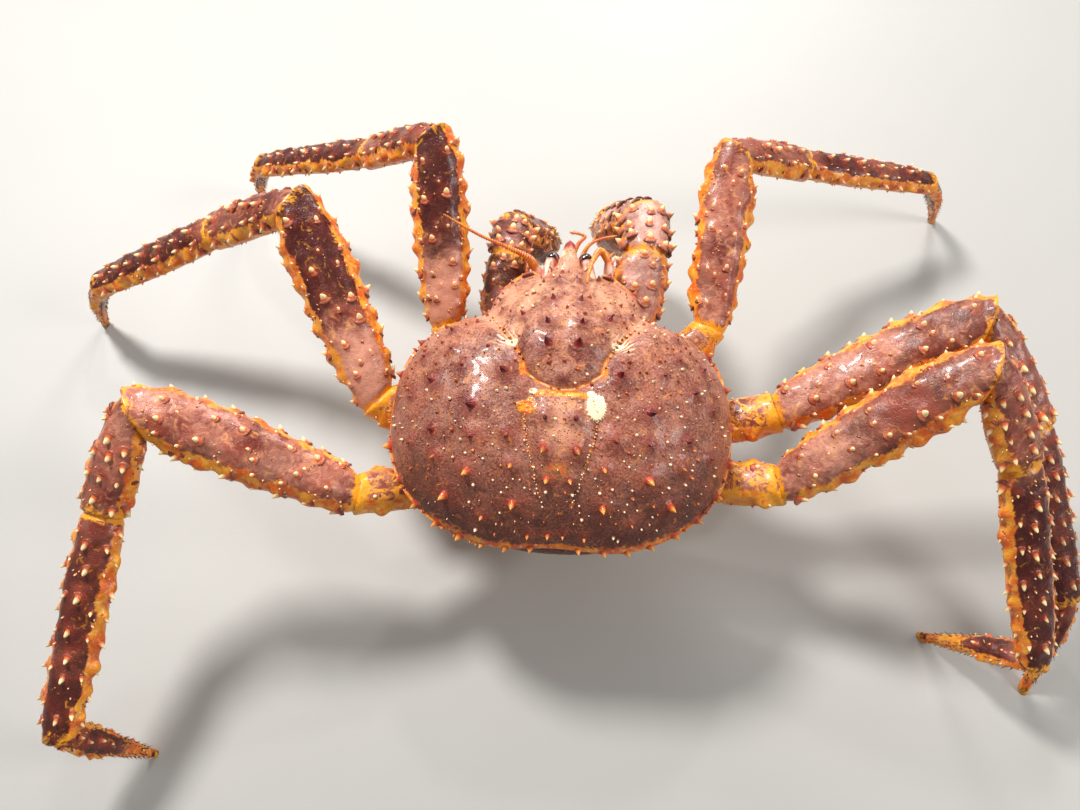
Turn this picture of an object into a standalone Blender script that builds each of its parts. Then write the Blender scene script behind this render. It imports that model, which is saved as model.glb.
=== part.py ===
# Red king crab, an adult male standing on the tips of six walking legs, life size.
# +Z is up, +Y is towards the head and +X is the crab's right. Sizes are in millimetres
# about the middle of the carapace and become metres when a mesh is made.

import math
import random

import bpy
import numpy as np
from mathutils import Matrix, Vector

MM = 0.001
SEED = 19                     # of the small differences between the spines of the limbs
GAP = 0.3                     # left between pieces that touch
FLOOR = -100.0                # the ground, below the level of the carapace's side edges
UP = Vector((0, 0, 1))
SIDES = {"left": -1, "right": 1}

# Carapace: half of its edge from the tail round to the rostrum, as (x, y, height)
EDGE_HALF = [
    (0, -68, -2), (36, -68, -3), (67, -54, -3), (86, -31, -1), (91, 3, 2), (84, 37, 4),
    (63, 54, 6), (45, 62, 7), (39, 76, 8), (30, 86, 9), (21, 91, 10), (15, 86, 12),
    (9, 89, 15), (4, 98, 17), (0, 103, 17),
]
EDGE_STEPS = 2                # edge points for each stretch between two of those
CENTRE_Y = 8.0
DOME_HEIGHT = 34.0
DOME_SPREAD = math.radians(16)    # over which the dome evens out the edge's notches
DOME_FOOT = (3.6, 0.097)      # height of the dome's foot at y 0 and its slope towards the head
TOP_RINGS = (0.12, 0.24, 0.36, 0.48, 0.6, 0.71, 0.81, 0.89, 0.95, 0.985)
MIDDLE_REACH = 80.0           # the rings are round near the middle and follow the edge further out
UNDER_RINGS = ((0.985, -4.0), (0.95, -8.0), (0.89, -13.0))
UNDER_Z = -20.0               # the flat underside of the shell
UNDER_SCALE = 0.82

# Swellings of the back: centre x, y, spread x, y and height
SWELLINGS = [(0, 44, 23, 26, 9), (0, -20, 14, 18, 4), (50, -8, 24, 34, 4)]
# Grooves of the back: their line on the right half, half width and depth
GROOVES = [
    ([(49, 61), (38, 44), (27, 28), (21, 17), (19.5, 10.5), (13, 5.5), (5, 1.8), (0, 1.2)], 3.6, 3.0),
    ([(27, 28), (23, 42), (19, 58), (14, 74)], 3.5, 1.5),
    ([(15, -2), (18.5, -14), (16.3, -25), (14, -33), (11, -43), (7, -53)], 3.5, 2.0),
]

# Spines: length and radius at the foot
SPINE = {"large": (12.0, 3.9), "medium": (8.0, 3.0), "small": (5.0, 2.3)}
SPINE_SINK = 2.4
SPINE_SIDES = 5
BACK_SPINE_SCALE = {"large": 0.72, "medium": 0.8, "small": 0.86}    # those of the back are shorter
BACK_SPINES = [
    (5, 71, "small"), (7, 50.5, "medium"), (8.8, 35, "medium"), (7.3, 23.5, "large"),
    (22, 42, "medium"), (33, 50, "small"), (35, 60, "small"), (29, 9.5, "large"), (44, -8, "large"),
    (6.6, -14.5, "medium"), (8.2, -29, "large"), (5.6, -42, "medium"), (26.5, -23, "medium"),
    (45, -39, "large"), (56, -48, "large"), (22.3, -52.5, "large"), (23, -36.5, "medium"),
    (43.5, -23, "medium"), (37, -58, "small"), (66, 7.4, "medium"), (63.5, -18, "medium"),
    (62, -31, "medium"), (51, 13, "small"), (58, 24, "small"), (77, 2, "small"), (72, 24, "small"),
    (58, 38, "small"), (76, -22, "small"), (4, -63.5, "small"), (14, -64, "small"),
]
MIDDLE_SPINES = [(0, 6.5, "small")]
# Spines of the edge: degrees round from +X about the carapace's centre, and size
EDGE_SPINES = [
    (-81, "small"), (-72, "small"), (-64, "small"), (-56, "small"), (-47, "small"), (-38, "small"),
    (-28, "small"), (-16, "medium"), (-4, "medium"), (10, "medium"), (24, "medium"), (38, "small"),
    (50, "medium"), (62, "medium"), (74, "small"),
]
ROSTRUM = ((0, 95, 18.5), (0, 107.5, 17), 4.8)

# The body is turned a little towards the crab's right: degrees, about a place on its middle line
BODY_TURN = 3.3
TURN_Y = 32.0

# Body under the shell
THORAX_HALF = (58.0, 57.0)
THORAX_Y = 9.0
THORAX_RINGS = ((UNDER_Z - GAP, 0.95), (-30.0, 1.0), (-42.0, 0.92), (-49.0, 0.72))
# Abdomen, folded under the body: its middle line as (y, z), width and thickness
ABDOMEN = [
    (-36, -30, 34, 9), (-43, -26, 32, 9), (-50, -26.5, 30, 9), (-54.5, -31.5, 34, 9), (-55, -38.5, 44, 9),
    (-52, -47, 58, 9), (-44, -54.3, 66, 9), (-26, -56, 62, 8), (2, -56, 46, 8), (26, -54, 22, 6),
]

# Head
EYESTALK = ((12, 86, 3.5), (9, 101, 8.5), 3.2)
EYE_RADIUS = 3.8
ANTENNA = {
    "left": [(-16, 86, -3), (-17.5, 94, 2), (-21, 98, 7), (-25, 99, 13), (-38, 100, 21), (-51, 100.5, 29), (-70, 104, 41)],
    "right": [
        (22, 86, -4), (23, 95, 1), (22.5, 103, 6), (17.5, 105.5, 12), (13.5, 94, 19), (12, 82, 30), (10.5, 70, 39),
        (10, 62, 44),
    ],
}
ANTENNA_RADIUS = {
    "left": [3.2, 3.0, 2.6, 1.8, 1.1, 0.9, 0.6],
    "right": [3.2, 3.0, 2.5, 1.9, 1.3, 1.0, 0.8, 0.6],
}
ANTENNULE = {
    "left": [(-4, 86, -3), (-2, 98, 1), (2, 107, 5), (5, 113, 8), (8.5, 117, 9.5), (4, 118, 11), (0, 117.5, 12)],
    "right": [(6, 86, -4), (9, 98, -2), (8, 107, 3), (10, 111.5, 6.5), (14, 114.5, 8.5), (20, 116.3, 10), (26.5, 116.7, 12)],
}
ANTENNULE_RADIUS = [1.9, 1.8, 1.6, 1.2, 0.9, 0.7, 0.5]
MAXILLIPED = [(13, 52, -42), (13, 74, -50), (12, 90, -46), (10, 98, -34), (8, 98, -24)]
MAXILLIPED_RADIUS = [6.0, 6.0, 5.0, 4.0, 2.4]

# Walking legs: lengths of merus, carpus, propodus and dactylus, then their greatest widths
LEG_LENGTHS = {2: (106, 63, 105, 66), 3: (118, 65, 101, 62), 4: (120, 58, 112, 66)}
LEG_WIDTHS = {2: (29, 24, 21, 15), 3: (33, 26, 23, 16), 4: (32, 26, 24, 16)}
LEG_THICKNESS = 0.7           # thickness over width
LEG_ROOTS = {2: (46, 34, -34), 3: (54, 8, -34), 4: (50, -18, -33)}
FOOT_RADIUS = 2.0
# Pose: hip, then heading from +Y towards +X and rise, in degrees, of each segment down to
# the dactylus, whose rise follows from the floor
POSE = {
    ("left", 2): ((-67, 69, -12), (-3, 35), (-62, -38), (-68, -29), -44),
    ("left", 3): ((-103, 20, -12), (-25, 26), (-83, -31), (-93, -29), -78),
    ("left", 4): ((-110, -35, -12), (-74, 22), (-158, -33), (-170, -21), 99),
    ("right", 2): ((85, 66, -12), (9, 22), (70, -30), (80, -21), 65),
    ("right", 3): ((118, 13, -12), (72, 24), (150, -30), (160, -36), 195),
    ("right", 4): ((115, -30, -12), (68, 36), (147, -43), (166, -38), -58),
}
# Claws: root, hip, elbow, wrist, knuckle and finger tips, then the width of the merus
CLAW = {
    "left": ([(-26, 48, -34), (-36, 68, -28), (-32, 112, -8), (-29, 138, -10), (-14, 152, -46), (2, 146, -70)], 26),
    "right": ([(26, 48, -34), (38, 66, -29), (50, 112, -6), (52, 144, -8), (38, 162, -46), (26, 158, -80)], 31),
}

# Shapes of the segments: fraction along, width and thickness over the greatest
ISCHIUM = [(0, 1.0, 1.0), (0.5, 1.0, 1.0), (0.8, 1.05, 1.0), (1, 0.9, 0.9)]
MERUS = [(0, 0.66, 0.8), (0.16, 0.84, 0.92), (0.45, 0.98, 1.0), (0.75, 1.0, 1.0), (0.92, 0.92, 0.98), (1, 0.8, 0.9)]
CARPUS = [(0, 0.8, 0.9), (0.3, 0.9, 1.0), (0.75, 1.0, 1.0), (1, 0.9, 0.95)]
PROPODUS = [(0, 0.88, 1.0), (0.25, 1.0, 1.0), (0.6, 0.95, 0.95), (0.85, 0.85, 0.9), (1, 0.76, 0.85)]
PALM = [(0, 0.66, 0.75), (0.3, 0.95, 0.95), (0.7, 1.05, 1.05), (1, 0.95, 1.0)]
TUBE_SIDES = 10

# Rows of leg spines: degrees round the segment, first and last fraction, count and size
LEG_ROWS = {
    "ischium": [(60, 0.5, 0.75, 2, "small")],
    "merus": [
        (5, 0.14, 0.86, 7, "medium"), (175, 0.12, 0.84, 7, "medium"), (65, 0.15, 0.85, 4, "small"),
        (115, 0.25, 0.8, 4, "small"), (270, 0.3, 0.8, 2, "small"),
    ],
    "carpus": [(10, 0.25, 0.85, 3, "medium"), (170, 0.3, 0.85, 3, "medium"), (90, 0.35, 0.8, 2, "medium")],
    "propodus": [(8, 0.12, 0.8, 5, "medium"), (172, 0.16, 0.82, 5, "medium"), (90, 0.2, 0.8, 4, "small")],
    "dactylus": [(90, 0.16, 0.34, 2, "small")],
}
LEG_SPINE_LEAN = 0.85         # of a spine towards the foot, against outwards
LEG_SPINE_SCALE = 0.82
JOINT_CLEARANCE = 1.2         # of a spine's tip from the planes at its segment's ends
CLAW_ROWS = {
    "ischium": [(60, 0.5, 0.75, 2, "small")],
    "merus": [(10, 0.4, 0.85, 3, "medium"), (170, 0.4, 0.85, 3, "medium"), (90, 0.6, 0.85, 2, "small")],
    "carpus": [(15, 0.3, 0.8, 2, "large"), (165, 0.3, 0.8, 2, "large"), (90, 0.3, 0.75, 2, "medium")],
    "palm": [(20, 0.2, 0.85, 3, "medium"), (160, 0.2, 0.85, 3, "medium"), (90, 0.25, 0.8, 3, "medium")],
}

COLOURS = {
    "shell": (0.30, 0.11, 0.09), "under": (0.75, 0.50, 0.25), "leg": (0.27, 0.08, 0.06),
    "joint": (0.85, 0.42, 0.06), "claw": (0.42, 0.20, 0.17), "feeler": (0.80, 0.36, 0.10),
    "eye": (0.03, 0.01, 0.01),
}


def clear_scene():
    for obj in list(bpy.data.objects):
        bpy.data.objects.remove(obj)


def material(name):
    found = bpy.data.materials.get(name)
    if found:
        return found
    made = bpy.data.materials.new(name)
    made.use_nodes = True
    shader = made.node_tree.nodes["Principled BSDF"]
    shader.inputs["Base Color"].default_value = (*COLOURS[name], 1)
    shader.inputs["Roughness"].default_value = 0.12 if name == "eye" else 0.4
    shader.inputs["Metallic"].default_value = 0.0
    return made


def mesh_object(name, points, faces, finish):
    mesh = bpy.data.meshes.new(name)
    mesh.from_pydata([Vector(p) * MM for p in points], [], faces)
    mesh.materials.append(material(finish))
    obj = bpy.data.objects.new(name, mesh)
    bpy.context.scene.collection.objects.link(obj)
    return obj


def loft(rings):
    """Points and faces of a closed tube through the rings, each counter-clockwise about the way on."""
    count = len(rings[0])
    points = [p for ring in rings for p in ring]
    faces = [tuple(reversed(range(count)))]
    for k in range(len(rings) - 1):
        for i in range(count):
            j = (i + 1) % count
            a, b = k * count, (k + 1) * count
            faces.append((a + i, a + j, b + j, b + i))
    last = (len(rings) - 1) * count
    faces.append(tuple(range(last, last + count)))
    return points, faces


def spine(root, direction, size, scale=1.0, shorter=1.0):
    """Points and faces of a tapering spine whose foot is sunk below the root."""
    length, radius = (value * scale for value in SPINE[size])
    length *= shorter
    direction = Vector(direction).normalized()
    side = direction.cross(UP if abs(direction.z) < 0.9 else Vector((1, 0, 0))).normalized()
    other = direction.cross(side)
    foot = Vector(root) - direction * SPINE_SINK
    wide = radius * (1 + SPINE_SINK / length)
    turns = [2 * math.pi * k / SPINE_SIDES for k in range(SPINE_SIDES)]
    ring = [foot + (side * math.cos(a) + other * math.sin(a)) * wide for a in turns]
    faces = [(k, (k + 1) % SPINE_SIDES, SPINE_SIDES) for k in range(SPINE_SIDES)]
    return ring + [Vector(root) + direction * length], faces + [tuple(reversed(range(SPINE_SIDES)))]


def replace_mesh(obj):
    """Applies the object's modifiers."""
    graph = bpy.context.evaluated_depsgraph_get()
    mesh = bpy.data.meshes.new_from_object(obj.evaluated_get(graph))
    obj.modifiers.clear()
    obj.data = mesh


def keep_largest(obj):
    """Leaves the object only its largest closed surface."""
    mesh = obj.data
    parent = list(range(len(mesh.vertices)))

    def find(i):
        while parent[i] != i:
            parent[i] = parent[parent[i]]
            i = parent[i]
        return i

    for edge in mesh.edges:
        a, b = (find(v) for v in edge.vertices)
        parent[a] = b
    groups = {}
    for face in mesh.polygons:
        groups.setdefault(find(face.vertices[0]), []).append(face)
    kept = max(groups.values(), key=lambda faces: sum(face.area for face in faces))
    used = sorted({v for face in kept for v in face.vertices})
    place = {v: i for i, v in enumerate(used)}
    fresh = bpy.data.meshes.new(obj.name)
    fresh.from_pydata(
        [mesh.vertices[v].co.copy() for v in used], [], [[place[v] for v in face.vertices] for face in kept]
    )
    fresh.materials.append(mesh.materials[0])
    obj.data = fresh


def combine(obj, others, operation):
    """One Boolean with a collection of closed pieces, which are then removed."""
    group = bpy.data.collections.new(obj.name + "_pieces")
    bpy.context.scene.collection.children.link(group)
    for other in others:
        bpy.context.scene.collection.objects.unlink(other)
        group.objects.link(other)
    change = obj.modifiers.new("combine", "BOOLEAN")
    change.operation = operation
    change.operand_type = "COLLECTION"
    change.collection = group
    replace_mesh(obj)
    for other in others:
        bpy.data.objects.remove(other)
    bpy.data.collections.remove(group)
    keep_largest(obj)


def fuse(obj, pieces):
    """Joins the pieces, as points and faces, to the object, so that it stays one closed body."""
    made = [mesh_object("piece", *piece, "shell") for piece in pieces]
    if made:
        combine(obj, made, "UNION")


def swollen(obj):
    """A copy of the object grown by the gap, to cut its neighbours clear of it."""
    grown = obj.copy()
    grown.data = obj.data.copy()
    bpy.context.scene.collection.objects.link(grown)
    normals = [v.normal.copy() for v in grown.data.vertices]
    for vertex, normal in zip(grown.data.vertices, normals):
        vertex.co += normal * GAP * MM
    return grown


def clear_of(obj, neighbours):
    combine(obj, [swollen(other) for other in neighbours], "DIFFERENCE")


def smooth(values, steps):
    """A smooth closed curve through the points, with so many steps to each stretch."""
    values = np.array(values, float)
    count = len(values)
    curve = []
    for i in range(count):
        a, b, c, d = (values[(i + k) % count] for k in (-1, 0, 1, 2))
        for t in np.arange(steps) / steps:
            curve.append(0.5 * (2 * b + (c - a) * t + (2 * a - 5 * b + 4 * c - d) * t**2 + (3 * b - a - 3 * c + d) * t**3))
    return np.array(curve)


def carapace_edge(steps):
    left = [(-x, y, z) for x, y, z in EDGE_HALF[-2:0:-1]]
    return smooth(EDGE_HALF + left, steps)


FINE_EDGE = carapace_edge(12)
FINE_TURNS = np.arctan2(FINE_EDGE[:, 1] - CENTRE_Y, FINE_EDGE[:, 0])
FINE_ORDER = np.argsort(FINE_TURNS)
FINE_REACH = np.hypot(FINE_EDGE[:, 0], FINE_EDGE[:, 1] - CENTRE_Y)[FINE_ORDER]
FINE_RIM = FINE_EDGE[:, 2][FINE_ORDER]
ROUND = np.linspace(-math.pi, math.pi, 241)


def edge_at(turn):
    """The carapace's edge in a direction about its centre: distance and height."""
    turns = FINE_TURNS[FINE_ORDER]
    return np.interp(turn, turns, FINE_REACH, period=2 * math.pi), np.interp(turn, turns, FINE_RIM, period=2 * math.pi)


def evened(values):
    """The values round the edge, averaged over the dome's spread."""
    apart = (ROUND[:, None] - ROUND[None, :-1] + math.pi) % (2 * math.pi) - math.pi
    weight = np.exp(-((apart / DOME_SPREAD) ** 2) / 2)
    return weight @ values[:-1] / weight.sum(axis=1)


EVEN_REACH = evened(edge_at(ROUND)[0])


def dome(rho, turn):
    ahead = min(max((math.sin(turn) - 0.6) / 0.4, 0), 1)
    return DOME_HEIGHT * (1 - min(rho, 1) ** 2.4) ** (0.6 + 0.4 * ahead)


def distance_to_line(x, y, line):
    best = 1e9
    for (ax, ay), (bx, by) in zip(line[:-1], line[1:]):
        dx, dy = bx - ax, by - ay
        t = min(max(((x - ax) * dx + (y - ay) * dy) / (dx * dx + dy * dy), 0), 1)
        best = min(best, math.hypot(x - ax - t * dx, y - ay - t * dy))
    return best


def back_height(x, y):
    """Height of the carapace's upper face."""
    turn = math.atan2(y - CENTRE_Y, x)
    reach, rim = edge_at(turn)
    even_reach = np.interp(turn, ROUND, EVEN_REACH)
    out = math.hypot(x, y - CENTRE_Y)
    rho = min(out / reach, 1)
    foot = DOME_FOOT[0] + DOME_FOOT[1] * y
    height = foot + dome(out / even_reach, turn)
    height += (rim - foot - dome(reach / even_reach, turn)) * rho**7
    fade = 1 - rho**4
    for cx, cy, sx, sy, rise in SWELLINGS:
        height += fade * rise * math.exp(-(((abs(x) - cx) / sx) ** 2 + ((y - cy) / sy) ** 2) / 2)
    for line, half, depth in GROOVES:
        height -= fade * depth * math.exp(-((distance_to_line(abs(x), y, line) / half) ** 2) / 2)
    return height


def back_normal(x, y):
    step = 1.5
    rise_x = (back_height(x + step, y) - back_height(x - step, y)) / (2 * step)
    rise_y = (back_height(x, y + step) - back_height(x, y - step)) / (2 * step)
    return Vector((-rise_x, -rise_y, 1)).normalized()


def back_spines(rng):
    pieces = []
    both = [(x * side, y, size) for x, y, size in BACK_SPINES for side in (-1, 1)]
    for x, y, size in both + MIDDLE_SPINES:
        out = Vector((x, y - CENTRE_Y, 0)).normalized()
        pieces.append(spine((x, y, back_height(x, y)), back_normal(x, y) + out * 0.35, size, rng.uniform(0.85, 1.1), BACK_SPINE_SCALE[size]))
    for degrees, size in EDGE_SPINES:
        for side in (-1, 1):
            turn = math.radians(degrees)
            reach, rim = edge_at(turn)
            out = Vector((math.cos(turn) * side, math.sin(turn), 0))
            root = out * reach + Vector((0, CENTRE_Y, rim))
            pieces.append(spine(root - out * 2, out + UP * 0.15, size, rng.uniform(0.9, 1.1), BACK_SPINE_SCALE[size]))
    base, tip, radius = (Vector(v) if isinstance(v, tuple) else v for v in ROSTRUM)
    SPINE["rostrum"] = ((tip - base).length, radius)
    return pieces + [spine(base, tip - base, "rostrum")]


def make_carapace(rng):
    edge = carapace_edge(EDGE_STEPS)
    turns = [2 * math.pi * (i / len(edge) - 0.25) for i in range(len(edge))]
    rings = []
    for rho in TOP_RINGS:
        ring = []
        for (x, y, z), turn in zip(edge, turns):
            px = rho * (x * rho + MIDDLE_REACH * math.cos(turn) * (1 - rho))
            py = CENTRE_Y + rho * ((y - CENTRE_Y) * rho + MIDDLE_REACH * math.sin(turn) * (1 - rho))
            ring.append((px, py, back_height(px, py)))
        rings.append(ring)
    rings.append([tuple(p) for p in edge])
    for rho, drop in UNDER_RINGS:
        share = drop / UNDER_Z
        rings.append([
            (x * rho, CENTRE_Y + (y - CENTRE_Y) * rho, z * (1 - share) + UNDER_Z * share) for x, y, z in edge
        ])
    rings.append([(x * UNDER_SCALE, CENTRE_Y + (y - CENTRE_Y) * UNDER_SCALE, UNDER_Z) for x, y, z in edge])
    points, faces = loft([list(reversed(ring)) for ring in rings])
    count = len(edge)
    points.append((0, CENTRE_Y, back_height(0, CENTRE_Y)))
    crown = [(i, len(points) - 1, (i + 1) % count) for i in range(count)]
    core = mesh_object("carapace", points, crown + faces[1:], "shell")
    plain = mesh_object("carapace_core", points, crown + faces[1:], "shell")
    fuse(core, back_spines(rng))
    return core, plain


def outline(half_x, half_y, count, power):
    turns = [2 * math.pi * k / count for k in range(count)]
    return [
        (
            half_x * math.copysign(abs(math.cos(a)) ** (2 / power), math.cos(a)),
            half_y * math.copysign(abs(math.sin(a)) ** (2 / power), math.sin(a)),
        )
        for a in turns
    ]


def make_thorax():
    shape = outline(*THORAX_HALF, 20, 2.8)
    rings = [[(x * s, THORAX_Y + y * s, z) for x, y in shape] for z, s in reversed(THORAX_RINGS)]
    return mesh_object("thorax", *loft(rings), "under")


def path_loft(points, halves, sides, across=None, power=2.0):
    """A tube along the points. Each of halves is a radius or a (width, thickness) pair of halves."""
    points = [Vector(p) for p in points]
    rings = []
    side = across
    for k, point in enumerate(points):
        way = (points[min(k + 1, len(points) - 1)] - points[max(k - 1, 0)]).normalized()
        side = (side or way.cross(UP)) - way * way.dot(side or way.cross(UP))
        side.normalize()
        other = way.cross(side)
        half = halves[k] if isinstance(halves[k], tuple) else (halves[k], halves[k])
        rings.append([point + side * u + other * v for u, v in outline(*half, sides, power)])
    return loft(rings)


def make_abdomen(thorax):
    path = [(0, y, z) for y, z, _, _ in ABDOMEN]
    halves = [(width / 2, thickness / 2) for _, _, width, thickness in ABDOMEN]
    abdomen = mesh_object("abdomen", *path_loft(path, halves, 12, Vector((1, 0, 0)), 2.6), "under")
    clear_of(abdomen, [thorax])
    return abdomen


def mirrored(points, side):
    return [(x * side, y, z) for x, y, z in points]


def make_eye(name, side, shell):
    root, end = (Vector((p[0] * side, p[1], p[2])) for p in EYESTALK[:2])
    way = (end - root).normalized()
    radius = EYESTALK[2]
    path = [root, root.lerp(end, 0.5), end]
    stalk = mesh_object("eyestalk_" + name, *path_loft(path, [radius * 0.9, radius, radius * 1.1], 8), "feeler")
    clear_of(stalk, [shell])
    angles = [math.radians(a) for a in (0, 25, 48, 68)]
    path = [end + way * (GAP + EYE_RADIUS * math.sin(a)) for a in angles]
    radii = [EYE_RADIUS * math.cos(a) for a in angles]
    mesh_object("eye_" + name, *path_loft(path, radii, 10), "eye")


def make_head(shell, thorax):
    for name, side in SIDES.items():
        make_eye(name, side, shell)
        feeler = mesh_object("antenna_" + name, *path_loft(ANTENNA[name], ANTENNA_RADIUS[name], 7), "feeler")
        clear_of(feeler, [shell])
        feeler = mesh_object("antennule_" + name, *path_loft(ANTENNULE[name], ANTENNULE_RADIUS, 6), "feeler")
        clear_of(feeler, [shell])
        mouth = path_loft(mirrored(MAXILLIPED, side), MAXILLIPED_RADIUS, 8)
        clear_of(mesh_object("maxilliped_" + name, *mouth, "claw"), [thorax])


class Segment:
    """A length of limb between two joints, with its ends cut on the planes of the joints."""

    def __init__(self, start, end, width, thickness, shape, start_plane=None, end_plane=None, bow=0.0, sides=TUBE_SIDES):
        self.start, self.end = Vector(start), Vector(end)
        self.length = (self.end - self.start).length
        self.way = (self.end - self.start).normalized()
        self.side = UP.cross(self.way).normalized()
        self.top = self.way.cross(self.side)
        self.width, self.thickness, self.shape, self.bow, self.sides = width, thickness, shape, bow, sides
        self.start_plane = start_plane or self.way
        self.end_plane = end_plane or self.way

    def middle(self, t):
        return self.start + self.way * (self.length * t) + self.top * (self.bow * math.sin(math.pi * t))

    def halves(self, t):
        stops = [row[0] for row in self.shape]
        wide = np.interp(t, stops, [row[1] for row in self.shape])
        deep = np.interp(t, stops, [row[2] for row in self.shape])
        return self.width / 2 * float(wide), self.thickness / 2 * float(deep)

    def rings(self):
        rings = []
        for t, _, _ in self.shape:
            ring = []
            for u, v in outline(*self.halves(t), self.sides, 2.3):
                offset = self.side * u + self.top * v
                point = self.middle(t) + offset
                point += self.way * self.slide(offset, self.start_plane, t, GAP / 2)
                point += self.way * self.slide(offset, self.end_plane, 1 - t, -GAP / 2)
                ring.append(point)
            rings.append(ring)
        return rings

    def slide(self, offset, plane, fraction, lift):
        """How far a point moves along the limb to follow an end's plane, fading out within a width."""
        fade = max(0, 1 - fraction * self.length / min(self.width, self.length / 2))
        return fade * (lift - offset.dot(plane)) / self.way.dot(plane)

    def surface(self, t, degrees):
        """A point on the segment's surface and its outward direction."""
        u, v = self.halves(t)
        a = math.radians(degrees)
        out = (self.side * (math.cos(a) * v) + self.top * (math.sin(a) * u)).normalized()
        return self.middle(t) + self.side * (math.cos(a) * u) + self.top * (math.sin(a) * v), out

    def spines(self, rows, scale, rng):
        pieces = []
        for degrees, first, last, count, size in rows:
            for k in range(count):
                t = first + (last - first) * k / (count - 1)
                root, out = self.surface(t + rng.uniform(-0.02, 0.02), degrees + rng.uniform(-6, 6))
                lean = (out + self.way * LEG_SPINE_LEAN).normalized()
                grown = scale * rng.uniform(0.85, 1.12)
                length, radius = (value * grown for value in SPINE[size])
                ahead = (self.end - root - lean * length).dot(self.end_plane)
                behind = (root - self.start).dot(self.start_plane) - radius
                if min(ahead, behind) > JOINT_CLEARANCE:
                    pieces.append(spine(root - out * 0.5, lean, size, grown))
        return pieces

    def build(self, name, finish, pieces=()):
        obj = mesh_object(name, *loft(self.rings()), finish)
        fuse(obj, pieces)
        return obj


def direction(heading, rise):
    h, r = math.radians(heading), math.radians(rise)
    return Vector((math.sin(h) * math.cos(r), math.cos(h) * math.cos(r), math.sin(r)))


def leg_joints(side, pair):
    """Root, hip, knee, wrist, ankle and foot of a walking leg."""
    hip, merus, carpus, propodus, heading = POSE[side, pair]
    x, y, z = LEG_ROOTS[pair]
    joints = [Vector((x * SIDES[side], y, z)), Vector(hip)]
    for pose, length in zip((merus, carpus, propodus), LEG_LENGTHS[pair]):
        joints.append(joints[-1] + direction(*pose) * length)
    rise = -math.degrees(math.asin((joints[-1].z - FLOOR) / LEG_LENGTHS[pair][3]))
    joints.append(joints[-1] + direction(heading, rise) * LEG_LENGTHS[pair][3])
    return joints


def planes_of(joints):
    """The plane of each joint, square to the line that halves its bend."""
    ways = [(b - a).normalized() for a, b in zip(joints[:-1], joints[1:])]
    return [ways[0]] + [(a + b).normalized() for a, b in zip(ways[:-1], ways[1:])] + [ways[-1]]


def make_leg(side, pair, blockers, rng):
    joints = leg_joints(side, pair)
    planes = planes_of(joints)
    planes[-1] = -UP
    widths = LEG_WIDTHS[pair]
    foot = 2 * FOOT_RADIUS / widths[3]
    dactylus = [(0, 1.0, 1.0), (0.25, 0.95, 0.95), (0.55, 0.7, 0.8), (0.82, 0.42, 0.5), (1, foot, foot / LEG_THICKNESS)]
    parts = [
        ("ischium", widths[0] * 0.7, ISCHIUM, "joint", 0), ("merus", widths[0], MERUS, "leg", 0),
        ("carpus", widths[1], CARPUS, "leg", 0), ("propodus", widths[2], PROPODUS, "leg", 0),
        ("dactylus", widths[3], dactylus, "leg", 3.0),
    ]
    for k, (part, width, shape, finish, bow) in enumerate(parts):
        thick = width * (0.95 if part == "ischium" else LEG_THICKNESS)
        limb = Segment(joints[k], joints[k + 1], width, thick, shape, planes[k], planes[k + 1], bow)
        spines = limb.spines(LEG_ROWS[part], LEG_SPINE_SCALE, rng)
        made = limb.build(f"leg_{side}_{pair}_{part}", finish, spines)
        if part == "ischium":
            clear_of(made, blockers)


def finger(knuckle, palm, lift, length, radius):
    """Rings of a finger that bows away from its fellow and comes back to it at the tip."""
    rings = []
    for t, size in ((0, 1.0), (0.3, 0.95), (0.6, 0.75), (0.85, 0.45), (1, 0.18)):
        rise = lift * (1 - t) ** 0.6 + math.copysign(1.8, lift) * t
        middle = knuckle + palm.way * (length * t) + palm.top * rise
        rings.append([middle + palm.side * u + palm.top * v for u, v in outline(radius * size, radius * size * 0.9, 8, 2)])
    return rings


def make_claw(side, blockers, rng):
    points, width = CLAW[side]
    joints = [Vector(p) for p in points]
    planes = planes_of(joints[:5])
    parts = [
        ("ischium", width * 0.72, ISCHIUM, "joint"), ("merus", width, MERUS, "claw"),
        ("carpus", width, CARPUS, "claw"), ("palm", width * 1.1, PALM, "claw"),
    ]
    for k, (part, wide, shape, finish) in enumerate(parts):
        limb = Segment(joints[k], joints[k + 1], wide, wide * 0.84, shape, planes[k], planes[k + 1])
        pieces = limb.spines(CLAW_ROWS[part], width / 31, rng)
        if part == "palm":
            knuckle, reach, radius = joints[4], (joints[5] - joints[4]).length, wide * 0.25
            lower = finger(knuckle - limb.way * 4, limb, -radius * 1.05, reach + 4, radius)
            pieces.append(loft(lower))
            upper = finger(knuckle + limb.way * (GAP / 2), limb, radius * 1.12, reach, radius * 0.92)
            mesh_object(f"claw_{side}_finger", *loft(upper), "claw")
        made = limb.build(f"claw_{side}_{part}", finish, pieces)
        if part == "ischium":
            clear_of(made, blockers)


def turn_body():
    """Turns all that is made so far about the upright line through the turning place."""
    pivot = Matrix.Translation((0, TURN_Y * MM, 0))
    turn = pivot @ Matrix.Rotation(math.radians(-BODY_TURN), 4, "Z") @ pivot.inverted()
    for obj in bpy.context.scene.objects:
        obj.data.transform(turn)


def settle():
    """Moves all of it so that the origin is at the bottom centre of its box."""
    objects = [obj for obj in bpy.context.scene.objects if obj.type == "MESH"]
    points = [v.co for obj in objects for v in obj.data.vertices]
    low = Vector([min(p[i] for p in points) for i in range(3)])
    high = Vector([max(p[i] for p in points) for i in range(3)])
    shift = Vector((-(low.x + high.x) / 2, -(low.y + high.y) / 2, -low.z))
    for obj in objects:
        obj.data.transform(Matrix.Translation(shift))
        obj.data.shade_smooth()
        obj.data.set_sharp_from_angle(angle=math.radians(40))


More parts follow.
